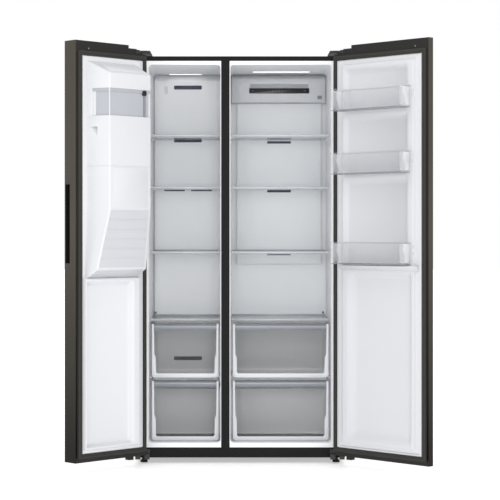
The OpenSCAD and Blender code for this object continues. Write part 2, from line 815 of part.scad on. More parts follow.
module fridge_door_insulation() right_door() color("#e8dca8") door_foam(fridge_u, bevel);

// A recess whose foot and top slope out to the face of the raised pad
module pad_recess(u0, u1, z0, z1, foot, slope)
    along_u(u0, u1)
        polygon([[door_liner_v + 2, z0 + foot], [door_liner_v + 2, z1 - slope], [70, z1], [70, z0]]);

// Liner of the fridge door: a raised pad with a recess behind each bin, a ledge under the lowest
// bin and a recessed panel below
module fridge_door_liner() right_door() color("#f4f5f7")
    difference() {
        union() {
            liner_plate(fridge_u);
            box([34, door_liner_v, 93], [464, low_pad_v, 1715]);
            box([50, door_liner_v, 104], [462, bin_v[0] - 0.5, 1704]);
            box([54, door_liner_v, 836], [462, 96, 856]);
        }
        pad_recess(76, 430, bin_z[0] + 4, bin_z[1] - 14, 4, 34);
        pad_recess(76, 430, bin_z[1] + 4, bin_z[2] - 14, 4, 34);
        pad_recess(76, 430, bin_z[2] + 4, 1688, 4, 34);
        pad_recess(106, 409, 118, 822, 50, 34);
    }

module fridge_door_gasket() right_door() color("#4e4e50") door_seal(fridge_u);

module door_bin(z) right_door() color("#dfe8ea", 0.5)
    tub([bin_u[0], bin_v[0], z], [bin_u[1], bin_v[1], z + bin_h], 2.5, 0, bin_r);

module bin_top() door_bin(bin_z[2]);

module bin_middle() door_bin(bin_z[1]);

module bin_bottom() door_bin(bin_z[0]);

// ---- drawers ----

module drawer(x0, x1, back, z) placed() color("#dde5e8", 0.5)
    tub([x0 + 11, drawer_front, z[0]], [x1 - 9, back, z[1]], 3, 4, 12);

module freezer_drawer_upper() drawer(freezer_x0, freezer_x1, 430, upper_z);

module freezer_drawer_lower() drawer(freezer_x0, freezer_x1, 338, lower_z);

module fridge_drawer_upper() drawer(fridge_x0, fridge_x1, 480, upper_z);

module fridge_drawer_lower() drawer(fridge_x0, fridge_x1, 338, lower_z);

// ---- one line for each node ----

side_panel_left();
side_panel_right();
top_panel();
rear_panel();
base_frame();
divider_bar();
cabinet_insulation();
freezer_liner();
fridge_liner();
freezer_air_duct();
fridge_air_duct();
lights_and_controls();
freezer_shelf_top();
freezer_shelf_middle();
freezer_shelf_bottom();
fridge_shelf_top();
fridge_shelf_middle();
fridge_shelf_bottom();
drawer_covers();
shelf_trims();
compressor();
condenser_coil();
evaporator();
fan_motors();
rear_cover();
hinge_brackets();
hinge_covers();
water_inlet_valve();
cord_gland();
freezer_door_panel();
freezer_door_trim();
freezer_door_insulation();
freezer_door_liner();
freezer_door_gasket();
ice_housing();
ice_maker();
ice_bucket();
dispenser_recess();
dispenser_panel();
drip_tray();
dispenser_paddle();
ice_flap();
ice_auger();
fridge_door_panel();
fridge_door_trim();
fridge_door_insulation();
fridge_door_liner();
fridge_door_gasket();
bin_top();
bin_middle();
bin_bottom();
freezer_drawer_upper();
freezer_drawer_lower();
fridge_drawer_upper();
fridge_drawer_lower();
evaporator_fan();
condenser_fan();
foot_left();
foot_right();
rear_rollers();
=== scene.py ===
"""Looks of the side by side refrigerator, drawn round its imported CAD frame.

Sizes are millimetres in three drawing frames, which are read from the CAD frame: the cabinet (x across,
y to the rear from the cabinet's face, z up) and the two doors (u from the hinge axis to the free edge,
v from the axis towards the inside, z up).
"""
import json
import math
import bmesh
import bpy
from mathutils import Matrix, Vector


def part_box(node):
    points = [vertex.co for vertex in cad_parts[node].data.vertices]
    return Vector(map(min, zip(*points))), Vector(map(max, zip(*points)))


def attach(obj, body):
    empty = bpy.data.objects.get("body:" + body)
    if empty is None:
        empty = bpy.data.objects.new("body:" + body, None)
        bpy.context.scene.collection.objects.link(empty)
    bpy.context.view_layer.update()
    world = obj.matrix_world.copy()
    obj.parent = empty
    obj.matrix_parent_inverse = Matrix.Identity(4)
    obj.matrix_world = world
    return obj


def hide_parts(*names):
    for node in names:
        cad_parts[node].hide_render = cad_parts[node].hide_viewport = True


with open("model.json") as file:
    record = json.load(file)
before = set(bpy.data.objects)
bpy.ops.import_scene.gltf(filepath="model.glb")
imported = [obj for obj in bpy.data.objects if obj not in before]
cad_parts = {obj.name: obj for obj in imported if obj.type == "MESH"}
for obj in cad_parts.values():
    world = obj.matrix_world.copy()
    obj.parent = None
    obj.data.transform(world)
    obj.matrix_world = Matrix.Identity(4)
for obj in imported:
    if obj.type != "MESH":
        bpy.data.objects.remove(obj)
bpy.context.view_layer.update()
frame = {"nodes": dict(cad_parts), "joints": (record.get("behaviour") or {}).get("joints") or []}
MM = 0.001


# ---- drawing frames ----

def joint_place(name):
    """Hinge axis of a door on the floor, in metres."""
    joint = next(j for j in frame["joints"] if j["name"] == name)
    return Vector((joint["pos_m"][0], joint["pos_m"][1], 0))


def drawing_frame(origin, across, inward):
    """Matrix from millimetres in a drawing frame to metres in the row frame."""
    m = Matrix.Identity(4)
    for row in range(3):
        m[row][0] = across[row] * MM
        m[row][1] = inward[row] * MM
        m[row][2] = (0, 0, MM)[row]
        m[row][3] = origin[row]
    return m


top_low, top_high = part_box("top_panel")
DIAGONAL = math.sqrt(0.5)          # the doors stand open 135 degrees, so their axes run diagonally
CABINET = drawing_frame(((top_low.x + top_high.x) / 2, top_low.y, 0), (1, 0, 0), (0, 1, 0))
LEFT = drawing_frame(joint_place("freezer_door_hinge"),
                     (-DIAGONAL, -DIAGONAL, 0), (DIAGONAL, -DIAGONAL, 0))
RIGHT = drawing_frame(joint_place("fridge_door_hinge"),
                      (DIAGONAL, -DIAGONAL, 0), (-DIAGONAL, -DIAGONAL, 0))


def in_scene(name, data):
    """A new object with this data, linked to the scene."""
    obj = bpy.data.objects.new(name, data)
    bpy.context.scene.collection.objects.link(obj)
    return obj


# ---- camera, light and floor ----

CAMERA_AT = (0, -7300, 990)


def make_camera():
    data = bpy.data.cameras.new("camera")
    data.lens = 121.9
    data.sensor_width = 36
    data.shift_x = 0.02
    data.shift_y = -0.033
    camera = in_scene("camera", data)
    camera.location = CABINET @ Vector(CAMERA_AT)
    camera.rotation_euler = (math.radians(90), 0, 0)
    bpy.context.scene.camera = camera


def soft_light(name, at, target, size, power):
    data = bpy.data.lights.new(name, "AREA")
    data.shape = "RECTANGLE"
    data.size, data.size_y = size
    data.energy = power
    light = in_scene(name, data)
    light.location = at
    light.rotation_euler = (Vector(target) - Vector(at)).to_track_quat("-Z", "Y").to_euler()


def make_studio():
    scene = bpy.context.scene
    scene.view_settings.view_transform = "Standard"
    world = bpy.data.worlds.new("studio")
    world.use_nodes = True
    sky = world.node_tree.nodes["Background"].inputs
    sky["Color"].default_value = (1, 1, 1, 1)
    sky["Strength"].default_value = 1.0
    scene.world = world
    soft_light("key", (-0.6, -3.4, 5.2), (0, -0.2, 0.9), (3, 2), 20)
    soft_light("fill", (2.4, -4.6, 2.4), (0, 0, 0.9), (2, 2), 5)
    soft_light("front", (0, -6.4, 1.3), (0, 0.4, 0.9), (1.6, 1.6), 72)
    bm = bmesh.new()
    bmesh.ops.create_circle(bm, cap_ends=True, segments=96, radius=40)
    mesh = bpy.data.meshes.new("floor")
    bm.to_mesh(mesh)
    bm.free()
    # white paper; its faint glow lifts the shadows as a lit sweep does
    mesh.materials.append(glowing("pale_floor", "FBFBFB", 0.45))
    in_scene("floor", mesh)


# ---- materials ----

def rgb(code):
    """Linear colour of a six-digit sRGB code."""
    parts = [int(code[i:i + 2], 16) / 255 for i in (0, 2, 4)]
    return [c / 12.92 if c < 0.04045 else ((c + 0.055) / 1.055) ** 2.4 for c in parts]


def shade(color, factor):
    return [min(1, c * factor) for c in color] + [1]


def link(tree, source, target):
    tree.links.new(source, target)


def new_material(name):
    """A node material, its tree and its main shader."""
    m = bpy.data.materials.new(name)
    m.use_nodes = True
    return m, m.node_tree, m.node_tree.nodes["Principled BSDF"]


def new_node(tree, kind, inputs=None, **settings):
    """A shader node with its own settings and the values of some of its inputs."""
    node = tree.nodes.new("ShaderNode" + kind)
    for key, value in settings.items():
        setattr(node, key, value)
    for key, value in (inputs or {}).items():
        node.inputs[key].default_value = value
    return node


def noise_of(tree, scale, detail=4, stretch=(1, 1, 1)):
    """Noise in the object's own space; stretch squeezes it along x, y and z."""
    coords = new_node(tree, "TexCoord")
    mapping = new_node(tree, "Mapping", {"Scale": stretch})
    texture = new_node(tree, "TexNoise", {"Scale": scale, "Detail": detail})
    link(tree, coords.outputs["Object"], mapping.inputs["Vector"])
    link(tree, mapping.outputs["Vector"], texture.inputs["Vector"])
    return texture.outputs["Fac"]


def spread(tree, factor, low, high):
    """Maps a noise of about 0.3 to 0.7 to the range low to high."""
    node = new_node(tree, "MapRange", {"From Min": 0.3, "From Max": 0.7, "To Min": low, "To Max": high})
    link(tree, factor, node.inputs["Value"])
    return node.outputs["Result"]


def painted_shade_to_foot(tree, color, painted_foot_shade):
    """Painted shade: multiplies a colour by a factor that runs from 1 at waist height to the last
    argument's value at the floor, in place of the steel's reflection dimming towards the floor.
    """
    if painted_foot_shade == 1:
        return color
    coords = new_node(tree, "TexCoord")
    parts = new_node(tree, "SeparateXYZ")
    fade = new_node(tree, "MapRange", {"From Min": 0.1, "From Max": 0.98, "To Min": painted_foot_shade})
    product = new_node(tree, "Mix", {"Factor": 1}, data_type="RGBA", blend_type="MULTIPLY")
    link(tree, coords.outputs["Object"], parts.inputs["Vector"])
    link(tree, parts.outputs["Z"], fade.inputs["Value"])
    link(tree, color, product.inputs["A"])
    link(tree, fade.outputs["Result"], product.inputs["B"])
    return product.outputs["Result"]


def surface(name, code, rough, metal=0.0, patch=3, grain=900, stretch=(1, 1, 1), tone=0.03,
            rough_spread=0.05, bump=0.05, specular=0.5, painted_foot_shade=1.0):
    """A moulded, painted or brushed surface: large soft patches of tone, fine grain in gloss and relief.

    The last argument darkens or lightens the colour softly from waist height down to the floor: painted
    shade, not a tone of the surface itself.
    """
    m, tree, shader = new_material(name)
    color = rgb(code)
    shader.inputs["Metallic"].default_value = metal
    shader.inputs["Specular IOR Level"].default_value = specular
    patches = noise_of(tree, patch)
    fine = noise_of(tree, grain, 3, stretch)
    mix = new_node(tree, "Mix", data_type="RGBA")
    mix.inputs["A"].default_value = shade(color, 1 - tone)
    mix.inputs["B"].default_value = shade(color, 1 + tone)
    blend = new_node(tree, "Math", operation="ADD")
    half = new_node(tree, "Math", {1: 0.5}, operation="MULTIPLY")
    link(tree, patches, blend.inputs[0])
    link(tree, fine, blend.inputs[1])
    link(tree, blend.outputs[0], half.inputs[0])
    link(tree, spread(tree, half.outputs[0], 0, 1), mix.inputs["Factor"])
    link(tree, painted_shade_to_foot(tree, mix.outputs["Result"], painted_foot_shade), shader.inputs["Base Color"])
    link(tree, spread(tree, fine, rough - rough_spread, rough + rough_spread), shader.inputs["Roughness"])
    relief_node = new_node(tree, "Bump", {"Strength": bump, "Distance": 0.0004})
    link(tree, fine, relief_node.inputs["Height"])
    link(tree, relief_node.outputs["Normal"], shader.inputs["Normal"])
    return m


def clear(name, tint, code, share, rough=0.06, edge=0.55):
    """Thin clear plastic or glass: light passes, edges and glancing views turn milky."""
    m, tree, shader = new_material(name)
    shader.inputs["Roughness"].default_value = rough
    body = rgb(code)
    through = new_node(tree, "BsdfTransparent", {"Color": list(tint) + [1]})
    weight = new_node(tree, "LayerWeight", {"Blend": 0.25})
    patches = noise_of(tree, 6)
    tone = new_node(tree, "Mix", data_type="RGBA")
    tone.inputs["A"].default_value = shade(body, 0.96)
    tone.inputs["B"].default_value = shade(body, 1.04)
    link(tree, patches, tone.inputs["Factor"])
    link(tree, tone.outputs["Result"], shader.inputs["Base Color"])
    amount = new_node(tree, "MapRange", {"To Min": share, "To Max": min(1, share + edge)})
    link(tree, weight.outputs["Fresnel"], amount.inputs["Value"])
    mix = new_node(tree, "MixShader")
    link(tree, amount.outputs["Result"], mix.inputs["Fac"])
    link(tree, through.outputs["BSDF"], mix.inputs[1])
    link(tree, shader.outputs["BSDF"], mix.inputs[2])
    link(tree, mix.outputs["Shader"], tree.nodes["Material Output"].inputs["Surface"])
    return m


def glowing(name, code, strength):
    """A lit diffuser: soft mottling under a faint glow."""
    m = surface(name, code, 0.4, patch=40, tone=0.01)
    shader = m.node_tree.nodes["Principled BSDF"]
    shader.inputs["Emission Color"].default_value = rgb(code) + [1]
    shader.inputs["Emission Strength"].default_value = strength
    return m


LINER = {"patch": 2, "grain": 1600, "tone": 0.008, "rough_spread": 0.03}
FINISHES = {
    # the door steel darkens towards the floor: painted shade in place of its reflection fading low down
    "door_steel": surface("brushed_door_steel", "4C4841", 0.38, 0.85, 2, 260, (3, 3, 0.05), 0.10,
                          0.07, 0.10, painted_foot_shade=0.14),
    "side_steel": surface("painted_side_steel", "403D38", 0.5, 0.3, 2, 700, tone=0.05, bump=0.08,
                          specular=0.3),
    "dark_paint": surface("dark_paint", "0C0C0C", 0.5, 0.0, 4, 900, tone=0.06, bump=0.06, specular=0.15),
    "galvanised": surface("galvanised_sheet", "9A9C9F", 0.42, 0.75, 30, 120, tone=0.12,
                          rough_spread=0.1),
    "black_plastic": surface("black_plastic", "1A1917", 0.5, patch=5, grain=1400, tone=0.07, bump=0.12,
                             specular=0.3),
    "gloss_black": surface("gloss_black", "08090A", 0.24, patch=5, tone=0.05, rough_spread=0.02),
    "white": surface("white_liner", "D7D8DB", 0.36, **LINER),
    # the fridge door liner's white, darkened below the freezer door liner's as painted shade
    "white_with_painted_shade": surface("white_door_liner_painted_shade", "CBCCCF", 0.42, **LINER),
    "white_inside": surface("white_cavity", "EEEFF1", 0.4, **LINER),
    "white_gloss": surface("white_gloss", "D3D4D7", 0.36, patch=2, tone=0.006, rough_spread=0.03),
    "pale_grey": surface("pale_grey_plastic", "D4D6DA", 0.38, patch=3, tone=0.015),
    # this grey also stands as painted shade on the ice housing's ribbed chute cover and chin
    "housing_grey": surface("housing_grey", "C4C5C9", 0.38, patch=3, grain=1600, tone=0.01),
    "mid_grey": surface("mid_grey_plastic", "A6A9AE", 0.4, patch=4, tone=0.02),
    "edge_and_gap_shade": surface("grey_edge_and_painted_gap_shade", "868C99", 0.32, patch=6, tone=0.04),
    "slate": surface("slate_vent", "565B6C", 0.45, patch=9, grain=1200, tone=0.07, bump=0.1),
    "grey_plastic": surface("grey_plastic", "82868C", 0.42, patch=5, grain=1300, tone=0.05, bump=0.1),
    "rubber": surface("gasket_rubber", "31302D", 0.65, patch=8, grain=1500, tone=0.06, bump=0.15,
                      specular=0.25),
    "foam": surface("insulation_foam", "E8DCA8", 0.9, patch=20, grain=300, tone=0.1, bump=0.6),
    "cast_black": surface("compressor_black", "1D1D1F", 0.35, 0.2, 8, 400, tone=0.1, bump=0.15),
    "alloy": surface("aluminium_alloy", "C3C6CA", 0.3, 1.0, 6, 500, tone=0.06),
    "steel": surface("zinc_steel", "8B8D90", 0.33, 1.0, 10, 350, tone=0.1),
    "screw": surface("bright_screw", "B9BABC", 0.25, 1.0, 30, 600, tone=0.08),
    "light": glowing("lit_diffuser", "FFFFFF", 0.8),
    "glass": clear("shelf_glass", (0.97, 0.98, 0.98), "C9D2D6", 0.07),
    "clear": clear("clear_plastic", (0.998, 0.998, 0.999), "F2F3F5", 0.01, 0.12, 0.12),
    "frosted": clear("frosted_plastic", (0.97, 0.97, 0.975), "F0F1F3", 0.3, 0.25, 0.3),
    "rail": clear("rail_plastic", (0.95, 0.955, 0.96), "DCDEE1", 0.6, 0.2),
    "milky": clear("milky_plastic", (0.93, 0.935, 0.945), "BEC1C7", 0.8, 0.2),
    "clear_edge": clear("clear_edge", (0.8, 0.81, 0.83), "8B8F96", 0.7, 0.15),
}

# material slots of the finishes; any other finish is its own slot
SLOTS = {
    "white_plastic": ("white", "white_with_painted_shade", "white_inside", "white_gloss", "housing_grey"),
    "grey_plastic": ("pale_grey", "mid_grey", "edge_and_gap_shade", "slate"),
    "clear_plastic": ("clear", "frosted", "rail", "milky", "clear_edge"),
    "black_plastic": ("cast_black",),
    "gasket_rubber": ("rubber",),
    "light_plastic": ("light",),
    "steel": ("screw",),
}
SLOT_OF = {finish: slot for slot, finishes in SLOTS.items() for finish in finishes}


# ---- mesh tools: every shell is a bmesh in millimetres ----

def shell_from(points, faces):
    bm = bmesh.new()
    verts = [bm.verts.new(p) for p in points]
    for face in faces:
        bm.faces.new([verts[i] for i in face])
    return bm


def round_edges(bm, r, steps=2, angle=30):
    """Rounds each edge that is sharper than angle."""
    if r > 0:
        bmesh.ops.recalc_face_normals(bm, faces=bm.faces[:])
        limit = math.radians(angle)
        sharp = [e for e in bm.edges if len(e.link_faces) == 2 and e.calc_face_angle() > limit]
        bmesh.ops.bevel(bm, geom=sharp, offset=r, segments=steps, profile=0.5, affect="EDGES",
                        clamp_overlap=True)
    return bm


def block(low, high, r=1.0, steps=2):
    bm = bmesh.new()
    bmesh.ops.create_cube(bm, size=1)
    for v in bm.verts:
        for i in range(3):
            v.co[i] = low[i] + (v.co[i] + 0.5) * (high[i] - low[i])
    return round_edges(bm, r, steps)


PLANES = {"xy": (0, 1, 2), "xz": (0, 2, 1), "yz": (1, 2, 0)}


def on_plane(plane, a, b, depth):
    """Point with a and b along the plane's two axes and depth along the third."""
    point = [0, 0, 0]
    for axis, value in zip(PLANES[plane], (a, b, depth)):
        point[axis] = value
    return Vector(point)


def prism(outline, plane, start, end, r=0.0, steps=2):
    """An outline in a plane, carried along the third axis, with its edges rounded by r."""
    n = len(outline)
    points = [on_plane(plane, a, b, d) for d in (start, end) for a, b in outline]
    faces = [list(range(n)), list(range(n, 2 * n))]
    faces += [[i, (i + 1) % n, n + (i + 1) % n, n + i] for i in range(n)]
    return round_edges(shell_from(points, faces), r, steps)


def loft(loops, ring=False):
    """Skin over loops with equal numbers of points, closed at both ends or by joining them in a ring."""
    n = len(loops[0])
    points = [p for loop in loops for p in loop]
    faces = []
    spans = len(loops) if ring else len(loops) - 1
    for k in range(spans):
        base, upper = k * n, ((k + 1) % len(loops)) * n
        faces += [[base + i, base + (i + 1) % n, upper + (i + 1) % n, upper + i] for i in range(n)]
    if not ring:
        faces += [list(range(n)), list(range((len(loops) - 1) * n, len(loops) * n))]
    return shell_from(points, faces)


def corner_points(low, high, r, steps=4):
    """Rounded rectangle as (a, b, normal a, normal b), anticlockwise from the lower right corner."""
    out = []
    centres = [(high[0] - r, low[1] + r, -90), (high[0] - r, high[1] - r, 0),
               (low[0] + r, high[1] - r, 90), (low[0] + r, low[1] + r, 180)]
    for a, b, turn in centres:
        for k in range(steps + 1):
            angle = math.radians(turn + 90 * k / steps)
            ca, sa = math.cos(angle), math.sin(angle)
            out.append((a + r * ca, b + r * sa, ca, sa))
    return out


def rounded_loop(plane, low, high, r, depth, steps=4):
    return [on_plane(plane, a, b, depth) for a, b, _, _ in corner_points(low, high, max(r, 0.01), steps)]


def rounded_slab(plane, low, high, r, start, end, edge=1.0, steps=4):
    """A slab with round corners in its plane and a softened edge at both faces."""
    sign = 1 if end > start else -1
    e = edge
    rings = [(e, start), (0.3 * e, start + 0.3 * e * sign), (0, start + e * sign),
             (0, end - e * sign), (0.3 * e, end - 0.3 * e * sign), (e, end)]
    return loft([rounded_loop(plane, (low[0] + i, low[1] + i), (high[0] - i, high[1] - i),
                              r - i, d, steps) for i, d in rings])


def frame_sweep(plane, low, high, r, profile, steps=4):
    """A closed profile of (outward, depth) points carried round a rounded rectangle."""
    corners = corner_points(low, high, max(r, 0.01), steps)
    return loft([[on_plane(plane, a + na * o, b + nb * o, d) for a, b, na, nb in corners]
                 for o, d in profile], ring=True)


def mitred_sweep(plane, low, high, profile):
    """A closed profile of (outward, depth) points carried round a rectangle with mitred corners."""
    loops = []
    for o, d in profile:
        corners = ((high[0] + o, low[1] - o), (high[0] + o, high[1] + o),
                   (low[0] - o, high[1] + o), (low[0] - o, low[1] - o))
        loops.append([on_plane(plane, a, b, d) for a, b in corners])
    return loft(loops, ring=True)


def tub(low, high, wall, r, draft=0.0, rim=0.0):
    """An open tub: draft leans the walls out towards the top, rim turns the edge outwards."""
    def ring(inset, z, radius):
        return rounded_loop("xy", (low[0] + inset, low[1] + inset), (high[0] - inset, high[1] - inset),
                            radius, z)
    d, floor, top = draft + rim, low[2], high[2]
    foot, under_rim = 2.5, top - 4
    rings = [ring(d + foot, floor, r - foot), ring(d + 0.7, floor + 0.7, r - 1), ring(d, floor + foot, r)]
    if rim:
        rings += [ring(rim, under_rim, r), ring(0.4, under_rim, r + rim),
                  ring(0, under_rim + 0.6, r + rim)]
    rings += [ring(0, top - 0.8, r + rim), ring(0.8, top, r + rim), ring(rim + wall - 0.6, top, r - wall)]
    rings += [ring(rim + wall, top - 0.8, r - wall), ring(d + wall, floor + wall + foot, r - wall),
              ring(d + wall + foot, floor + wall, max(r - wall - foot, 0.5))]
    return loft(rings)


def turned(profile, at, axis="z", sides=32):
    """A solid of revolution; profile is (radius, height) from one end to the other, on the axis."""
    loops = []
    for radius, h in profile:
        loop = []
        for k in range(sides):
            angle = 2 * math.pi * k / sides
            a, b = max(radius, 0.01) * math.cos(angle), max(radius, 0.01) * math.sin(angle)
            offset = {"z": (a, b, h), "y": (a, h, b), "x": (h, a, b)}[axis]
            loop.append(Vector(at) + Vector(offset))
        loops.append(loop)
    return loft(loops)


def ease(t):
    t = min(1, max(0, t))
    return t * t * (3 - 2 * t)


class Pad:
    """A raised or sunk rectangle of a relief: its level and how wide each of its edges slopes."""

    def __init__(self, low, high, level, slope=6.0, **wider):
        self.low, self.high, self.level = low, high, level
        self.slopes = [wider.get(edge, slope) for edge in ("left", "right", "bottom", "top")]

    def lines(self, axis):
        out = []
        for edge, s, sign in ((self.low[axis], self.slopes[2 * axis], 1),
                              (self.high[axis], self.slopes[2 * axis + 1], -1)):
            out += [edge + sign * s * t for t in (0, 0.15, 0.35, 0.5, 0.65, 0.85, 1)]
        return out

    def cover(self, a, b):
        left, right, bottom, top = self.slopes
        across = min(ease((a - self.low[0]) / left), ease((self.high[0] - a) / right))
        up = min(ease((b - self.low[1]) / bottom), ease((self.high[1] - b) / top))
        return across * up


def relief(plane, low, high, base, back, pads, holes=()):
    """A sheet whose face follows the pads over its base level, and whose back is flat."""
    lines = []
    for axis in (0, 1):
        values = {low[axis], high[axis]}
        for pad in pads:
            values |= {round(x, 3) for x in pad.lines(axis) if low[axis] < x < high[axis]}
        for hole in holes:
            values |= {hole[0][axis], hole[1][axis]}
        lines.append(sorted(values))
    rows, cols = len(lines[1]), len(lines[0])

    def level(a, b):
        value = base
        for pad in pads:
            value += (pad.level - value) * pad.cover(a, b)
        return value

    points = [on_plane(plane, a, b, level(a, b)) for b in lines[1] for a in lines[0]]
    points += [on_plane(plane, a, b, back) for b in lines[1] for a in lines[0]]
    size = rows * cols

    def open_cell(i, j):
        if not (0 <= i < cols - 1 and 0 <= j < rows - 1):
            return True
        a = (lines[0][i] + lines[0][i + 1]) / 2
        b = (lines[1][j] + lines[1][j + 1]) / 2
        return any(lo[0] < a < hi[0] and lo[1] < b < hi[1] for lo, hi in holes)

    faces = []
    for j in range(rows - 1):
        for i in range(cols - 1):
            if open_cell(i, j):
                continue
            corners = [j * cols + i, j * cols + i + 1, (j + 1) * cols + i + 1, (j + 1) * cols + i]
            faces.append(corners)
            faces.append([size + c for c in reversed(corners)])
            for k, (di, dj) in enumerate(((0, -1), (1, 0), (0, 1), (-1, 0))):
                if open_cell(i + di, j + dj):
                    a, b = corners[k], corners[(k + 1) % 4]
                    faces.append([b, a, size + a, size + b])
    return shell_from(points, faces)


def carved(shape, cutter):
    """The first shell less the second."""
    pair = []
    for bm in (shape, cutter):
        bmesh.ops.recalc_face_normals(bm, faces=bm.faces[:])
        mesh = bpy.data.meshes.new("carving")
        bm.to_mesh(mesh)
        bm.free()
        pair.append(in_scene("carving", mesh))
    cut = pair[0].modifiers.new("cut", "BOOLEAN")
    cut.object = pair[1]
    cut.solver = "EXACT"
    result = bmesh.new()
    result.from_object(pair[0], bpy.context.evaluated_depsgraph_get())
    for obj in pair:
        mesh = obj.data
        bpy.data.objects.remove(obj)
        bpy.data.meshes.remove(mesh)
    return result


class Piece:
    """One object of the visual model, gathered from closed shells in a drawing frame."""

    def __init__(self, name, place, body, finish, slot=None):
        self.name, self.place, self.body, self.finish = name, place, body, finish
        self.slot = slot or SLOT_OF.get(finish, finish)
        self.bm = bmesh.new()

    def add(self, *shells):
        for shell in shells:
            mesh = bpy.data.meshes.new("shell")
            shell.to_mesh(mesh)
            shell.free()
            self.bm.from_mesh(mesh)
            bpy.data.meshes.remove(mesh)
        return self

    def make(self, *replaced, sharp=32):
        self.bm.transform(self.place)
        bmesh.ops.recalc_face_normals(self.bm, faces=self.bm.faces[:])
        mesh = bpy.data.meshes.new(self.name)
        self.bm.to_mesh(mesh)
        self.bm.free()
        mesh.shade_smooth()
        mesh.set_sharp_from_angle(angle=math.radians(sharp))
        mesh.materials.append(FINISHES[self.finish])
        obj = in_scene(self.name, mesh)
        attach(obj, self.body)
        if replaced:
            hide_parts(*replaced)


def cabinet_piece(name, finish, slot=None):
    return Piece(name, CABINET, "cabinet", finish, slot)


# ---- CAD nodes that stay: each gets its finish, and sheet metal gets soft edges ----

NODE_FINISH = {
    "side_steel": ("side_panel_left", "side_panel_right"),
    "dark_paint": ("top_panel", "base_frame", "divider_bar"),
    "galvanised": ("rear_panel", "rear_cover"),
    "foam": ("cabinet_insulation", "freezer_door_insulation", "fridge_door_insulation"),
    "white_inside": ("freezer_liner", "fridge_liner"),
    "glass": ("freezer_shelf_top", "freezer_shelf_middle", "freezer_shelf_bottom", "fridge_shelf_top",
              "fridge_shelf_middle", "fridge_shelf_bottom", "drawer_covers"),
    "cast_black": ("compressor", "condenser_coil", "hinge_brackets"),
    "alloy": ("evaporator",),
    "black_plastic": ("fan_motors", "freezer_door_trim", "fridge_door_trim", "condenser_fan"),
    "steel": ("ice_auger",),
    "grey_plastic": ("ice_maker", "ice_flap", "evaporator_fan"),
    "milky": ("ice_bucket",),
    "door_steel": ("freezer_door_panel", "fridge_door_panel"),
}


def finish_cad_nodes():
    for finish, nodes in NODE_FINISH.items():
        for node in nodes:
            for slot in frame["nodes"][node].material_slots:
                slot.material = FINISHES[finish]
    for node in ("side_panel_left", "side_panel_right", "top_panel", "base_frame", "divider_bar",
                 "freezer_door_panel", "fridge_door_panel", "freezer_door_trim", "fridge_door_trim"):
        soft = frame["nodes"][node].modifiers.new("soft_edges", "BEVEL")
        soft.width = 0.7 * MM
        soft.segments = 2
        soft.limit_method = "ANGLE"
        soft.angle_limit = math.radians(50)


# ---- doors ----

INNER_V, LINER_V = 48, 51          # inner face of a door, and face of its liner plate
RIM_V = 50.5                       # thin rim of the moulded liner, under the gasket
FRONT_V = -22                      # outer face of a door
DOOR_Z = (46, 1785)
LINER_Z = (82, 1724)
GASKET_U, GASKET_W = -6, 19        # outer side and width of the gasket
DOOR_END = {"freezer_door": 376.5, "fridge_door": 503}        # free edges, along u
BEVEL = (36, 42)                   # cut across the fridge door's free edge, along u and v


def door_gasket(door, place):
    """Magnetic gasket: a bellows profile round the liner, with a proud sealing face."""
    end = DOOR_END[door]
    low = (GASKET_U + GASKET_W, LINER_Z[0])
    high = (end - 10 - GASKET_W, LINER_Z[1])
    v = INNER_V
    profile = [(-0.5, v - 0.2), (GASKET_W + 1, v - 0.2), (GASKET_W + 1, v + 2), (GASKET_W - 4, v + 3.4),
               (GASKET_W - 4, v + 4.2), (GASKET_W, v + 5.4), (GASKET_W, v + 9.2), (GASKET_W - 1.2, v + 10),
               (9, v + 10), (8.4, v + 9.2), (6.6, v + 9.2), (6, v + 10), (2.2, v + 10), (1, v + 9),
               (1.6, v + 6), (4, v + 4.6), (3.6, v + 3.6), (-0.5, v + 2)]
    piece = Piece(door + "_seal", place, door, "rubber")
    piece.add(mitred_sweep("xz", low, high, profile))
    piece.make(door + "_gasket", sharp=40)


def door_hardware(door, place):
    """The cap's screw, and the parting lines under the top cap and over the bottom cap."""
    end = DOOR_END[door]
    head = [(0.1, 0), (3.4, 0), (3.4, 1.0), (2.6, 1.8), (0.1, 1.9)]
    screw = turned(head, (end - 70, INNER_V, DOOR_Z[1] - 31), "y", 20)
    Piece(door + "_cap_screws", place, door, "steel").add(screw).make()

    line = Piece(door + "_cap_seams", place, door, "gloss_black")
    low_u, high_u = GASKET_U - 4, end - 1.8
    for z in (DOOR_Z[1] - 41, DOOR_Z[0] + 24):
        line.add(block((low_u, INNER_V - 0.3, z - 0.6), (high_u, INNER_V + 0.25, z + 0.6), 0.2, 1))
    line.make()


def freezer_door_liner():
    """White liner: plain behind the ice housing, a sunk panel in a raised frame below it."""
    piece = Piece("freezer_liner_moulding", LEFT, "freezer_door", "white")
    pads = [Pad((14.5, 83.5), (346, 1722.5), 57.5, 2),
            Pad((50, 95), (345.5, 812), 77, 3, bottom=8, top=10),
            Pad((80, 106), (340, 797), 55, 3, left=24, bottom=18, top=28)]
    niche_hole = ((NICHE_U[0] - 3, NICHE_Z[0] - 3), (NICHE_U[1] + 3, NICHE_Z[1] + 3))
    low, high = (13, LINER_Z[0]), (347.5, LINER_Z[1])
    piece.add(relief("xz", low, high, RIM_V, INNER_V + 0.1, pads, [niche_hole]))
    piece.make("freezer_door_liner", sharp=60)


BIN_Z = (863, 1238, 1504)
BIN_U, BIN_V, BIN_H = (52, 432), (66, 150), 90


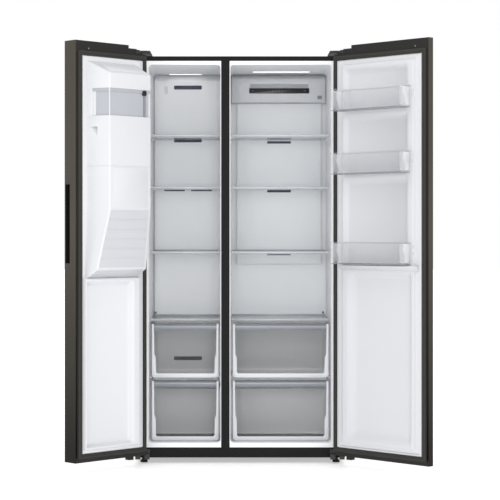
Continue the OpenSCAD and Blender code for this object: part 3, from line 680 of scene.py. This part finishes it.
def fridge_door_liner():
    """White liner: a raised pad with a sunk field behind each bin, a ledge, and a long sunk panel."""
    # this liner's white is darker than the freezer door liner's: painted shade
    piece = Piece("fridge_liner_moulding", RIGHT, "fridge_door", "white_with_painted_shade")
    pads = [Pad((14.5, 83.5), (472.5, 1722.5), 57.5, 2),
            Pad((30, 89.5), (461, 95), 53, 2),
            Pad((49, 100), (444, 1704), 65.4, 4, bottom=16)]
    sunk = RIM_V + 0.3
    for z, top in zip(BIN_Z, (1226, 1490, 1690)):
        pads.append(Pad((56, z - 2), (403, top), sunk, 6, left=26, top=34))
    pads.append(Pad((72, 118), (424, 832), sunk, 8, left=55, bottom=50, top=34))
    piece.add(relief("xz", (13, LINER_Z[0]), (474, LINER_Z[1]), RIM_V, INNER_V + 0.1, pads))
    ledge = [(52, 832), (60, 832), (93, 851), (96.5, 854.5), (95, 858), (52, 858)]
    piece.add(prism(ledge, "yz", 54, 462, 1.5))
    for z in BIN_Z:
        piece.add(rounded_slab("yz", (56, z + 44), (74, z + 74), 8, 433, 440, 1.5))
    piece.make("fridge_door_liner", sharp=60)


def door_bin(name, z):
    """Clear bin: a drafted tub with a stout rim, frosted ends, a foot strip and the base's edge."""
    u0, u1 = BIN_U
    v0, v1 = BIN_V
    low, high = (u0, v0, z), (u1, v1, z + BIN_H)
    brim = z + BIN_H
    rim = [(-3.2, brim - 3), (0.1, brim - 3), (0.3, brim - 1), (-0.6, brim + 0.4), (-2.6, brim + 0.4)]
    body = Piece(name + "_tub", RIGHT, name, "clear")
    body.add(tub(low, high, 2.6, 11, draft=5), frame_sweep("xy", low, high, 11, rim)).make(name)

    edges = Piece(name + "_edges", RIGHT, name, "clear_edge")
    edges.add(rounded_slab("xy", (u0 + 10, v0 + 10), (u1 - 10, v1 - 10), 6, z + 2.7, z + 3.7, 0.4))
    foot = [(-8, z - 0.4), (-5, z), (-4.6, z + 1.2), (-5, z + 2.4), (-7.2, z + 2.4), (-8.2, z + 1.2)]
    edges.add(frame_sweep("xy", low, high, 11, foot)).make()

    ends = Piece(name + "_ends", RIGHT, name, "frosted")
    for u in (u0 + 6.6, u1 - 8):
        ends.add(rounded_slab("yz", (v0 + 12, z + 8), (v1 - 12, brim - 6), 8, u, u + 1.4, 0.4))
    ends.make()


# ---- ice housing on the freezer door ----

HOUSE_U0 = 58
HOUSE_END, FACE_END = 322, 282     # free edge of the full-depth part, at its base and at its face
HOUSE_V = 155                      # face of the full-depth part
SLOPE_Z = (1650, 1704)             # the slope over it
# height, front face from the axis, free edge at the base and at the front
HOUSE_STATIONS = ((797, 53, 338, 338), (841, 125, 338, 326), (1090, HOUSE_V, HOUSE_END, FACE_END),
                  (SLOPE_Z[0], HOUSE_V, HOUSE_END, FACE_END), (SLOPE_Z[1], 54, HOUSE_END + 1, HOUSE_END))
# the dispenser's niche and chute
NICHE_U, NICHE_Z, NICHE_V = (80, 280), (860, 1180), 104
CHUTE_U = 180


def house_section(z):
    """Front face, base edge and front edge of the housing at a height."""
    for lower, upper in zip(HOUSE_STATIONS, HOUSE_STATIONS[1:]):
        if lower[0] <= z <= upper[0]:
            t = (z - lower[0]) / (upper[0] - lower[0])
            return [a + (b - a) * t for a, b in zip(lower[1:], upper[1:])]
    raise ValueError(z)


def house_loop(z, inset=0.0, r=9.0, steps=8):
    """Plan of the housing at a height: square at the liner, round at its two front corners."""
    front, base_end, front_end = house_section(z)
    front -= inset
    u0, base_end, front_end = HOUSE_U0 + inset, base_end - inset, front_end - inset
    r = max(0.3, min(r, (front - LINER_V) * 0.45))
    lean = math.atan2(base_end - front_end, front - LINER_V)
    turn = math.pi / 2 - lean
    reach = r * math.tan(turn / 2)
    points = [Vector((u0, LINER_V, z)), Vector((base_end, LINER_V, z))]
    near = min(r, 3)
    corners = ((Vector((front_end - reach, front - r, z)), r, lean, turn),
               (Vector((u0 + near, front - near, z)), near, math.pi / 2, math.pi / 2))
    for centre, radius, start, sweep in corners:
        for k in range(steps + 1):
            angle = start + sweep * k / steps
            points.append(centre + Vector((radius * math.cos(angle), radius * math.sin(angle), 0)))
    return points


WINDOW_Z = (1475, 1586)
SIDE_LEAN = (HOUSE_END - FACE_END) / (HOUSE_V - LINER_V)      # of the housing's side


def side_point(v, z, out=0.0):
    """Point of the housing's slanting side at a depth and a height."""
    return Vector((HOUSE_END - SIDE_LEAN * (v - LINER_V) + out, v, z))


def side_strip(v0, v1, inner, z0, z1, out, r):
    """An upright bar along the housing's side; inner is how far it reaches in."""
    a, b = side_point(v0, 0, out), side_point(v1, 0, out)
    outline = [(a.x, a.y), (b.x, b.y), (b.x - inner, b.y), (a.x - inner, a.y)]
    return prism(outline, "xy", z0, z1, r)


def seam_ring(z, width=1.8, depth=1.4):
    """Cutter for a fine groove round the housing."""
    outer = [house_loop(h, -3) for h in (z, z + width)]
    inner = [house_loop(h, depth) for h in (z + width, z)]
    return loft(outer + inner, ring=True)


def slope_plate(stations, left, right, back, chamfer):
    """A plate on the housing's face; stations are (height, how proud of the face it is)."""
    loops = []
    for z, proud in stations:
        front, _, end = house_section(z)
        u0, u1 = HOUSE_U0 + left, end - right
        loops.append([Vector((u0, front - back, z)), Vector((u1, front - back, z)),
                      Vector((u1 - chamfer, front + proud, z)), Vector((u0 + chamfer, front + proud, z))])
    return loft(loops)


def ice_housing():
    place, body = LEFT, "freezer_door"
    window_low, window_high = WINDOW_Z
    shell = Piece("ice_housing_shell", place, body, "white_gloss")
    lower = round_edges(loft([house_loop(z) for z in (797, 841, 1090, window_low)]), 4, 3, 33)
    # room for the niche and its paddle, a scooped cut-out in the side, and a seam
    lower = carved(lower, block((NICHE_U[0] - 4, LINER_V - 11, NICHE_Z[0] - 4),
                                (NICHE_U[1] + 4, NICHE_V + 5, NICHE_Z[1] + 4), 2))
    scoop = [side_point(65, 1429, 0.6), side_point(100, 1429, 0.6), side_point(100, 1390, 0.6),
             side_point(99, 1428, -34)]
    lower = carved(lower, shell_from(scoop, [(0, 1, 2), (0, 1, 3), (1, 2, 3), (2, 0, 3)]))
    shell.add(carved(lower, seam_ring(1267)))
    hood = [house_loop(z) for z in (window_high + 2, *SLOPE_Z)]
    shell.add(round_edges(loft(hood), 4, 3, 33))
    band = (window_low - 3, window_high + 5)
    shell.add(block((HOUSE_U0 + 0.5, LINER_V, band[0]), (HOUSE_U0 + 10, 152, band[1]), 2))
    shell.add(side_strip(LINER_V, 77, 20, *band, -0.6, 0.5))
    shell.add(side_strip(77, 90, 12, *band, -2.4, 0.5))
    shell.add(side_strip(148.5, 152, 3, *band, -1.4, 1))
    shell.add(rounded_slab("xz", (76, 1098), (264, 1262), 6, HOUSE_V - 1, HOUSE_V + 0.9, 0.7))
    shell.make("ice_housing", sharp=38)

    window = loft([house_loop(z, 4) for z in (window_low - 2, window_high + 4)])
    Piece("ice_window", place, body, "milky").add(window).make()
    upper_rim = ((window_high - 13, 3), (window_high - 11, 1.6), (window_high + 1.6, 1.2),
                 (window_high + 2.6, 2))
    rim = Piece("ice_window_rim", place, body, "mid_grey")
    rim.add(loft([house_loop(z, inset, 8) for z, inset in upper_rim]))
    rim.add(loft([house_loop(z, 1.8) for z in (window_low - 1, window_low + 1.6)])).make()

    slope = (HOUSE_V - 54) / (SLOPE_Z[1] - SLOPE_Z[0])
    face = [(v, SLOPE_Z[0] + (HOUSE_V - v) / slope) for v in (142, 72)]
    label = prism(face + [(v + 1.2, z + 1.6) for v, z in face[::-1]], "yz", 74, 268, 0.5)
    Piece("blank_label", place, body, "pale_grey").add(label).make()

    latch = rounded_slab("xz", (84, 1564), (104, 1585), 5, 148, 158.5, 1.5)
    Piece("ice_housing_latch", place, body, "gloss_black", "black_plastic").add(latch).make()
    guide = block((87, 148, 1474), (97, 155.4, 1570), 0.8)
    Piece("ice_window_guide", place, body, "grey_plastic").add(guide).make()

    # The ribs and the chin plate use the darker housing grey. On the ribs this is a greyer moulding
    # darkened further by painted shade; on the chin it is painted shade alone.
    ribs = Piece("ribbed_chute_cover_and_chin_shade", place, body, "housing_grey", "grey_plastic")
    count, z_low, z_high = 6, 850, 1087
    pitch = (z_high - z_low) / count
    for i in range(count):
        z0, z1 = z_low + i * pitch, z_low + (i + 1) * pitch
        ribs.add(slope_plate(((z0, 2.4), (z0 + 2, 3), (z1 - 0.2, 0.8)), 12, 5, 3, 1))
    # grey plate over the downward-facing chin: painted shade
    ribs.add(slope_plate(((801, 0.7), (838, 0.7)), 3, 4, 4, 0)).make()


# ---- dispenser in the door's front ----

def dispenser():
    place, body = LEFT, "freezer_door"
    u0, u1 = NICHE_U
    z0, z1 = NICHE_Z
    niche = Piece("dispenser_niche", place, body, "black_plastic")

    def ring(grow, v, r):
        return rounded_loop("xz", (u0 - grow, z0 - grow), (u1 + grow, z1 + grow), r, v, 6)

    niche.add(loft([ring(2.4, NICHE_V + 2.4, 12), ring(2.4, FRONT_V + 0.2, 12),
                    ring(7.4, FRONT_V + 0.2, 14), ring(7.4, FRONT_V - 1.4, 14),
                    ring(6.6, FRONT_V - 2, 13.5), ring(1.4, FRONT_V - 2, 11),
                    ring(0.6, FRONT_V - 1.2, 10), ring(0.3, FRONT_V + 6, 10), ring(-3, NICHE_V - 14, 14),
                    ring(-14, NICHE_V - 1, 20)]))
    chute = []
    for t in (0, 0.25, 0.5, 0.75, 1):
        z, v = z1 + 1 + 80 * t, 41 + 58 * t
        flare = 34 - 5 * min(1, 4 * t)
        chute.append([Vector((CHUTE_U + flare * math.cos(a), v + flare * math.sin(a), z))
                      for a in (2 * math.pi * k / 36 for k in range(36))])
    niche.add(loft(chute)).make("dispenser_recess", sharp=40)

    glow = rounded_slab("xy", (CHUTE_U - 38, -12), (CHUTE_U + 38, -4), 3, 1172, 1180.5, 1)
    Piece("dispenser_light", place, body, "light").add(glow).make()
    spout = turned([(0.1, 1152), (4, 1152), (6, 1156), (7, 1166), (12, 1174), (12, 1181), (0.1, 1181)],
                   (CHUTE_U + 48, 22, 0), "z", 28)
    Piece("water_spout", place, body, "grey_plastic").add(spout).make()

    panel = rounded_slab("xz", (u0 - 6, z1 + 12), (u1 + 6, z1 + 106), 12, FRONT_V + 8, FRONT_V - 2, 1.2, 6)
    Piece("touch_display", place, body, "gloss_black").add(panel).make("dispenser_panel")
    marks = Piece("touch_marks", place, body, "pale_grey")
    face, under = FRONT_V - 2.15, FRONT_V - 1.8
    for i in range(5):
        marks.add(frame_sweep("xz", (u0 + 15 + 36 * i, z1 + 34), (u0 + 27 + 36 * i, z1 + 46), 6,
                              [(0, face), (1.1, face), (1.1, under), (0, under)]))
    marks.add(rounded_slab("xz", (CHUTE_U - 20, z1 + 66), (CHUTE_U + 20, z1 + 84), 3,
                           under + 0.1, face, 0.1)).make()

    tray = tub((u0 + 6, FRONT_V + 8, z0 + 0.3), (u1 - 6, 60, z0 + 12), 2, 8)
    Piece("drip_tray_body", place, body, "black_plastic").add(tray).make("drip_tray")
    grille = Piece("drip_grille", place, body, "alloy")
    grille.add(frame_sweep("xy", (u0 + 14, FRONT_V + 16), (u1 - 14, 52), 5,
                           [(0, z0 + 12), (5.5, z0 + 12), (5.5, z0 + 14), (0, z0 + 14)]))
    for i in range(15):
        u = u0 + 19 + i * 11.5
        grille.add(block((u, FRONT_V + 15, z0 + 12.2), (u + 4, 53, z0 + 13.8), 0.5, 1))
    grille.make()

    lever = Piece("glass_lever", place, "dispenser_paddle", "grey_plastic")
    outline = [(74, 1153), (78.4, 1153), (78.4, 1000), (69, 986), (66, 988.4), (73.6, 1002)]
    lever.add(prism(outline, "yz", CHUTE_U - 25, CHUTE_U + 25, 1.6, 3))
    axle = [(0.1, -30), (3.4, -29.6), (3.4, 29.6), (0.1, 30)]
    lever.add(turned(axle, (CHUTE_U, 76, 1150), "x", 20))
    for z in range(1010, 1100, 14):
        lever.add(block((CHUTE_U - 20, 73.2, z), (CHUTE_U + 20, 74.6, z + 5), 0.6, 1))
    lever.make("dispenser_paddle")


# ---- inside the cabinet ----

FREEZER, FRIDGE = (-394, -84), (-42, 394)
SHELF_Z, COVER_Z = (909, 1192, 1420), 614
CEILING = 1718
# left and right ends, height and half height
FREEZER_VENTS = ((-300, -176, 1657, 7.5), (-300, -176, 1413, 5), (-345, -254, 1191, 6),
                 (-222, -130, 1191, 6), (-300, -176, 420, 7))
FRIDGE_VENTS = ((126, 232, 1408, 4), (126, 232, 1184, 4), (126, 232, 896, 4))
FREEZER_COVER_Y, FRIDGE_COVER_Y = 438, 468     # faces of the two back covers
HOUSING_Y = 430                    # face of the fridge's top housing
BACK_Y = 489.5                     # back wall of the cavities
STRIP_Z = (1629, 1653)             # dark control strip


def vent_holes(vents):
    return [((x0, z - h), (x1, z + h)) for x0, x1, z, h in vents]


def air_vents(name, vents, y):
    """Slotted outlets: a thin bezel, three slanted slats, upright ties and a baffle behind."""
    grilles = cabinet_piece(name, "slate")
    bezel = [(1.6, y + 0.1), (1.6, y - 0.5), (1.1, y - 1), (-1, y - 1), (-1.6, y - 0.4), (-1.6, y + 5),
             (-0.2, y + 5), (-0.2, y + 0.1)]
    for x0, x1, z, h in vents:
        grilles.add(frame_sweep("xz", (x0, z - h), (x1, z + h), 1.8, bezel, 3))
        for step in (-4, 0, 4) if h > 6.5 else (-2, 2):
            slat = [(y + 0.4, z + step - 1.2), (y + 4.6, z + step + 0.4), (y + 4.6, z + step + 1.4),
                    (y + 0.4, z + step)]
            grilles.add(prism(slat, "yz", x0 + 1.2, x1 - 1.2, 0.25, 1))
        ties = max(2, round((x1 - x0) / 30))
        for i in range(1, ties):
            x = x0 + (x1 - x0) * i / ties
            grilles.add(block((x - 0.7, y + 0.9, z - h + 0.5), (x + 0.7, y + 4, z + h - 0.5), 0.3, 1))
        grilles.add(block((x0 + 0.6, y + 6, z - h + 0.5), (x1 - 0.6, y + 7.2, z + h - 0.5), 0.3, 1))
    grilles.make()


def back_cover(name, finish, low, high, y, pads=(), holes=(), wall=2.5):
    """A back cover: a moulded face with its rim rolled back, and four sides back to the cavity's wall."""
    piece = cabinet_piece(name, finish)
    rolled = Pad(low, high, y, 4.5)
    piece.add(relief("xz", low, high, y + 3.5, y + 6, [rolled, *pads], holes))
    (x0, z0), (x1, z1), y0, y1 = low, high, y + 4, BACK_Y
    for a, b in (((x0, z0), (x0 + wall, z1)), ((x1 - wall, z0), (x1, z1)),
                 ((x0, z0), (x1, z0 + wall)), ((x0, z1 - wall), (x1, z1))):
        piece.add(block((a[0], y0, a[1]), (b[0], y1, b[1]), 0.8))
    return piece


def probe_cover(piece, x, z, y):
    """Small upright moulded cover over a temperature probe."""
    rim = [(0.9, y + 0.3), (0.9, y - 1.4), (0.3, y - 2), (-1.2, y - 2), (-1.6, y - 1.4), (-1.6, y + 0.3)]
    piece.add(frame_sweep("xz", (x - 6, z - 16), (x + 6, z + 16), 5, rim))
    for i in range(5):
        piece.add(block((x - 4, y - 1.2, z - 10 + 4.6 * i), (x + 4, y + 0.2, z - 8 + 4.6 * i), 0.4, 1))


def back_covers():
    y = FREEZER_COVER_Y
    low, high = (FREEZER[0] + 2, 306), (FREEZER[1] - 2, 1690)
    raised = Pad((low[0] + 24, 330), (high[0] - 24, 845), y + 1.5, 30)
    freezer = back_cover("freezer_back_cover", "white_inside", low, high, y, [raised],
                         vent_holes(FREEZER_VENTS))
    strip = [(y + 1.2, high[1] - 2), (y + 4, high[1] + 1), (y + 34, CEILING), (y + 40, CEILING),
             (y + 40, high[1] - 6), (y + 1.2, high[1] - 6)]
    freezer.add(prism(strip, "yz", FREEZER[0] + 2.5, FREEZER[1] - 2.5))
    freezer.make("freezer_air_duct", sharp=50)
    air_vents("freezer_air_vents", FREEZER_VENTS, y)

    y = FRIDGE_COVER_Y
    holes = vent_holes(FRIDGE_VENTS)
    fridge = back_cover("fridge_back_cover", "white_inside", (-16, 848), (374, 1588), y, (), holes)
    fridge.make("fridge_air_duct", sharp=50)
    air_vents("fridge_air_vents", FRIDGE_VENTS, y)

    y = HOUSING_Y
    low, high = (FRIDGE[0] + 2, 1586), (FRIDGE[1] - 2, 1700)
    pocket = Pad((45, STRIP_Z[1] - 1), (313, STRIP_Z[1] + 20), y + 3.2, 2, top=3, bottom=1)
    housing = back_cover("fridge_top_housing", "housing_grey", low, high, y, [pocket], (), 3)
    cove = [(y + 3, high[1] - 6), (y + 5, high[1] - 1), (y + 12, high[1] + 5), (y + 26, CEILING - 3),
            (y + 40, CEILING), (y + 40, high[1] - 6)]
    housing.add(prism(cove, "yz", low[0] + 0.5, high[0] - 0.5)).make()

    probes = cabinet_piece("probe_covers", "pale_grey")
    probe_cover(probes, -337, 1645, FREEZER_COVER_Y)
    probe_cover(probes, 1, 1652, HOUSING_Y)
    probes.make()
    window = cabinet_piece("air_sensor_window", "grey_plastic")
    window.add(rounded_slab("xz", (353, 1603), (374, 1619), 4, y + 0.5, y - 1.6, 0.8))
    window.add(rounded_slab("xz", (357, 1606), (370, 1616), 3, y - 1, y - 2.1, 0.5)).make()
    stops = cabinet_piece("glass_end_stops", "grey_plastic")
    for x, y in ((381, FRIDGE_COVER_Y - 2), (-386, FREEZER_COVER_Y - 2)):
        stops.add(turned([(0.1, -6), (4, -6), (5.5, -4.6), (5.5, 3), (0.1, 3)], (x, y, 628), "y", 20))
    stops.make()


def lights_and_controls():
    bars = cabinet_piece("ceiling_lights", "light")
    frames = cabinet_piece("light_frames", "pale_grey", "light_plastic")
    for low, high in (((-326, 405), (-171, 437)), ((54, 285), (315, 325))):
        inner_low, inner_high = (low[0] + 3, low[1] + 3), (high[0] - 3, high[1] - 3)
        bars.add(rounded_slab("xy", inner_low, inner_high, 6, CEILING - 0.4, CEILING - 4, 1.2))
        edge = [(0.2, CEILING - 0.3), (2.8, CEILING - 0.3), (2.8, CEILING - 2), (2, CEILING - 2.8),
                (0.2, CEILING - 2.8)]
        frames.add(frame_sweep("xy", inner_low, inner_high, 6, edge))
    bars.make("lights_and_controls")
    frames.make()
    y = HOUSING_Y
    low, high = STRIP_Z
    strip = rounded_slab("xz", (42, low), (316, high), 2.5, y + 0.6, y - 4, 0.8)
    cabinet_piece("control_strip", "gloss_black").add(strip).make()
    # grey sheet in the pocket above the control strip: painted shade of the recess
    recess_shade = rounded_slab("xz", (46, high + 2), (312, high + 17), 2, y + 3.8, y + 2.4, 0.4)
    cabinet_piece("control_recess_shade", "mid_grey").add(recess_shade).make()
    marks = cabinet_piece("control_marks", "grey_plastic")
    for i in range(5):
        x = 151 + 14 * i
        marks.add(frame_sweep("xz", (x - 2, low + 10), (x + 2, low + 14), 1.9,
                              [(0, y - 4.1), (0.6, y - 4.1), (0.6, y - 3.7), (0, y - 3.7)], 3))
    for x in (58, 296):
        marks.add(rounded_slab("xz", (x - 4, low + 11.4), (x + 4, low + 13), 0.7,
                               y - 3.7, y - 4.15, 0.1, 2))
    marks.make()


def shelf_rails():
    """Front rail of each glass: a round-nosed clear rail over a slim grey lip, and a rear upstand."""
    rails = cabinet_piece("glass_front_rails", "rail")
    lips = cabinet_piece("glass_rail_lips", "mid_grey")
    stands = cabinet_piece("glass_rear_stands", "milky")
    for (left, right), cover_y in ((FREEZER, FREEZER_COVER_Y), (FRIDGE, FRIDGE_COVER_Y)):
        x0, x1, back = left + 2.4, right - 2.4, cover_y - 4
        for z in (COVER_Z, *SHELF_Z):
            nose = [(119.8, z + 3), (112, z + 3.6), (109, z + 2), (108, z - 1), (108.4, z - 4.4),
                    (110, z - 6), (119.8, z - 6)]
            rails.add(prism(nose, "yz", x0, x1, 0.8))
            lip = [(110.4, z - 6.2), (119.4, z - 6.2), (119.4, z - 8.6), (117, z - 9.8), (111, z - 9.8)]
            lips.add(prism(lip, "yz", x0 + 3, x1 - 3, 0.5, 1))
            stands.add(block((x0 + 1, back - 4, z + 0.1), (x1 - 1, back - 0.5, z + 7), 1.2))
            for x in (x0, x1 - 9):
                rails.add(rounded_slab("xz", (x, z - 6), (x + 9, z + 7), 3, 109, 131, 1.2))
    rails.make("shelf_trims")
    lips.make()
    stands.make()


def drawer(name, x0, x1, back, z0, z1):
    """Clear drawer with a white U-shaped front frame, a grip lip between its arms, and grey edge strips
    that are partly the tub's edge and partly painted shadow of the gaps round the frame.
    """
    left, right, front = x0 + 11, x1 - 9, 60
    body = Piece(name + "_tub", CABINET, name, "clear")
    body.add(tub((left - 2, front + 2.5, z0), (right + 2, back, z1), 2.6, 12, draft=7, rim=3)).make(name)

    arm, shoulder = 9, z0 + (z1 - z0) * 0.38
    inner_left, inner_right = left + arm, right - arm
    outline = [(left, z1 - 3), (left, z0 + 12), (left + 4, z0 + 4), (left + 12, z0), (right - 12, z0),
               (right - 4, z0 + 4), (right, z0 + 12), (right, z1 - 3), (inner_right, z1 - 3),
               (inner_right - 2, shoulder + 10), (inner_right - 8, shoulder), (inner_right - 9, z0 + 24),
               (inner_right - 14, z0 + 18), (inner_left + 14, z0 + 18), (inner_left + 9, z0 + 24),
               (inner_left + 8, shoulder), (inner_left + 2, shoulder + 10), (inner_left, z1 - 3)]
    u_frame = prism(outline, "xz", front - 1.5, front + 5, 1.3)
    Piece(name + "_front_frame", CABINET, name, "white_gloss").add(u_frame).make()

    low = z1 - 30
    profile = [(front + 1, low), (front - 0.5, low + 3), (front + 0.5, z1 - 8), (front + 6, z1 - 2.5),
               (front + 13, z1), (front + 13, z1 - 3), (front + 7.5, z1 - 6), (front + 3.5, z1 - 11),
               (front + 3, low)]
    lip = prism(profile, "yz", inner_left + 0.5, inner_right - 0.5, 0.6, 1)
    Piece(name + "_grip", CABINET, name, "clear_edge").add(lip).make()

    # grey strips at the frame's sides, foot and under the grip: painted shadow of the gaps, together with
    # the tub's edge
    edges = Piece(name + "_edges", CABINET, name, "edge_and_gap_shade")
    for x in (left - 2.2, right):
        edges.add(block((x, front + 1, z0 + 14), (x + 2.2, front + 7, z1 - 1), 0.7, 1))
    edges.add(block((left + 12, front, z0 - 1.2), (right - 12, front + 6, z0 + 1.2), 0.7, 1))
    edges.add(block((inner_left, front - 1, low - 1), (inner_right, front + 1.5, low + 1), 0.6, 1)).make()


def drawers():
    for side, (x0, x1), back in (("freezer", FREEZER, 430), ("fridge", FRIDGE, 480)):
        drawer(side + "_drawer_upper", x0, x1, back, 364, 600)
        drawer(side + "_drawer_lower", x0, x1, 338, 90, 352)


# ---- outside of the cabinet ----

def hinge_covers():
    covers = cabinet_piece("hinge_cover_mouldings", "cast_black")
    screws = cabinet_piece("hinge_cover_screws", "screw")
    outline = [(452, 1754), (452, 1776), (449, 1779), (404, 1779)]
    for k in range(1, 8):
        angle = math.pi / 2 * k / 8
        outline.append((404 - 26 * math.sin(angle), 1753 + 26 * math.cos(angle)))
    outline.append((378, 1754))
    # plan of the front arm and of the top plate: outer x range, y range, corner, z range, edge, steps
    plates = ((427, 452, -70, 20, 10, 1755, 1775, 4, 6), (388, 440, 16, 76, 5, 1778, 1779.8, 0.8, 4))
    for side in (-1, 1):
        covers.add(prism([(side * x, z) for x, z in outline], "xz", 2, 90, 1.5, 2))
        for inner, outer, y0, y1, corner, z0, z1, edge, steps in plates:
            x0, x1 = sorted((side * inner, side * outer))
            covers.add(rounded_slab("xy", (x0, y0), (x1, y1), corner, z0, z1, edge, steps))
        head = [(0.1, 1779), (4.5, 1779.4), (3.6, 1780.6), (0.1, 1780.8)]
        screws.add(turned(head, (side * 414, 46, 0), "z", 24))
    covers.make("hinge_covers")
    screws.make()


def levelling_feet():
    for name, x in (("foot_left", -416), ("foot_right", 416)):
        foot = Piece(name + "_pad", CABINET, name, "black_plastic")
        profile = [(0.1, 0), (14.6, 0), (16, 1.2), (16, 8.5), (14, 11), (9.5, 12), (9.5, 13), (0.1, 13)]
        foot.add(turned(profile, (x, 35, 0), "z", 36))
        nut = turned([(0.1, 12), (9.6, 12), (9.6, 20), (0.1, 20)], (x, 35, 0), "z", 6)
        foot.add(round_edges(nut, 0.6))
        thread = [(0.1, 18)]
        for i in range(15):
            thread += [(4.9, 20.5 + 2.8 * i), (4.3, 21.9 + 2.8 * i)]
        thread.append((0.1, 63))
        foot.add(turned(thread, (x, 35, 0), "z", 20))
        foot.make(name, sharp=45)


def rear_rollers():
    wheels = Piece("roller_wheels", CABINET, "rear_rollers", "black_plastic")
    axles = Piece("roller_axles", CABINET, "rear_rollers", "steel")
    for side in (-1, 1):
        at = (side * 400, 525, 15)
        profile = [(3.2, -11), (9, -11), (9.6, -9.5), (13.4, -10.8), (14.6, -10), (15, -8.5), (15, 8.5),
                   (14.6, 10), (13.4, 10.8), (9.6, 9.5), (9, 11), (3.2, 11)]
        wheels.add(turned(profile, at, "x", 32))
        pin = [(0.1, -16), (2.6, -16), (3, -15.4), (3, 15.4), (2.6, 16), (0.1, 16)]
        axles.add(turned(pin, at, "x", 16))
    wheels.make("rear_rollers")
    axles.make()


REAR_Y = 570


def rear_side():
    """Embossed back sheet, louvred bay cover, water inlet and the mains lead's gland."""
    sheet = cabinet_piece("embossed_back_sheet", "galvanised")
    ribs = [Pad((x - 9, z0), (x + 9, z1), REAR_Y + 2.4, 5)
            for x in (-300, -100, 100, 300) for z0, z1 in ((330, 980), (1040, 1690))]
    ribs += [Pad((-390, z - 8), (390, z + 8), REAR_Y + 2.2, 5) for z in (290, 1010, 1715)]
    sheet.add(relief("xz", (-434, 252), (434, 1752.5), REAR_Y, REAR_Y - 1.4, ribs))
    sheet.make("rear_panel", sharp=60)

    hoods = cabinet_piece("bay_louvres", "galvanised")
    for x in range(-330, 331, 110):
        for z in range(66, 221, 22):
            if x > 200 and z > 120:
                continue               # the water valve stands here
            loops = []
            for t in (0, 0.2, 0.5, 0.8, 1):
                crest = REAR_Y + 0.5 + 5 * math.sin(math.pi * t)
                u = x - 38 + 76 * t
                section = ((REAR_Y - 0.2, z + 5.5), (REAR_Y + 0.3, z + 5.5), (crest, z - 3.4),
                           (crest - 0.6, z - 3.8), (REAR_Y - 0.2, z + 4.5))
                loops.append([Vector((u, y, h)) for y, h in section])
            hoods.add(loft(loops))
    hoods.make()

    bolts = cabinet_piece("rear_screws", "screw")
    places = [(x, 242) for x in (-440, -220, 0, 220, 440)] + [(x, 40) for x in (-440, -150, 150, 440)]
    places += [(x, z) for x in (-444, 444) for z in (300, 620, 1000, 1380, 1700)]
    for x, z in places:
        head = [(0.1, REAR_Y - 0.2), (6.5, REAR_Y - 0.2), (6.5, REAR_Y + 0.6), (4, REAR_Y + 1),
                (4, REAR_Y + 3.4), (3.2, REAR_Y + 4), (0.1, REAR_Y + 4)]
        bolts.add(turned(head, (x, 0, z), "y", 6 if z == 242 else 24))
    bolts.make()

    valve = cabinet_piece("water_valve_body", "pale_grey")
    valve.add(block((346, 530, 154), (394, 567, 196), 3, 3))
    for x in (352, 376):
        valve.add(block((x, 504, 160), (x + 12, 532, 190), 2))
    collar = [(0.1, 564), (15, 564), (16, 565), (16, 570), (15, 571), (0.1, 571)]
    valve.add(turned(collar, (370, 0, 175), "y", 36))
    thread = [(8, 571)]
    for i in range(8):
        thread += [(13.2, 571.2 + 1.75 * i), (12.2, 572.1 + 1.75 * i)]
    thread += [(12.6, 586), (9.4, 586), (9.4, 574), (0.1, 573.5)]
    valve.add(turned([(0.1, 571)] + thread, (370, 0, 175), "y", 36))
    valve.make("water_inlet_valve", sharp=40)

    gland = cabinet_piece("mains_gland", "rubber")
    ring = [(4.05, 558), (8.6, 558), (11.6, 559), (11.8, 565), (8.8, 567), (8.8, 570), (12.6, 570.4),
            (13, 572), (12, 573.6), (5.2, 574), (4.05, 573)]
    loops = [[Vector((-410 + r * math.cos(a), y, 60 + r * math.sin(a)))
              for a in (2 * math.pi * k / 32 for k in range(32))] for r, y in ring]
    gland.add(loft(loops, ring=True))
    gland.make("cord_gland", sharp=40)


def handle_slots():
    """A soft-edged trim round the handle slot in each door's free edge."""
    slants = (("freezer_door", LEFT, 0), ("fridge_door", RIGHT, BEVEL[0] / BEVEL[1]))
    for door, place, slant in slants:
        u = DOOR_END[door]
        trim = Piece(door + "_handle_trim", place, door, "black_plastic")
        edge = [(0.2, u - 3), (2, u - 3), (2, u + 0.3), (1.2, u + 0.6), (0.2, u + 0.3)]
        ring = frame_sweep("yz", (-15.6, 868.4), (9.6, 1191.6), 1.5, edge, 3)
        for vert in ring.verts:
            vert.co.x -= slant * (FRONT_V + BEVEL[1] - vert.co.y)
        trim.add(ring)
        trim.make()


# ---- the whole model ----

make_camera()
make_studio()
finish_cad_nodes()
for door, place in (("freezer_door", LEFT), ("fridge_door", RIGHT)):
    door_gasket(door, place)
    door_hardware(door, place)
freezer_door_liner()
fridge_door_liner()
for name, z in zip(("bin_bottom", "bin_middle", "bin_top"), BIN_Z):
    door_bin(name, z)
ice_housing()
dispenser()
back_covers()
lights_and_controls()
shelf_rails()
drawers()
hinge_covers()
levelling_feet()
rear_rollers()
rear_side()
handle_slots()
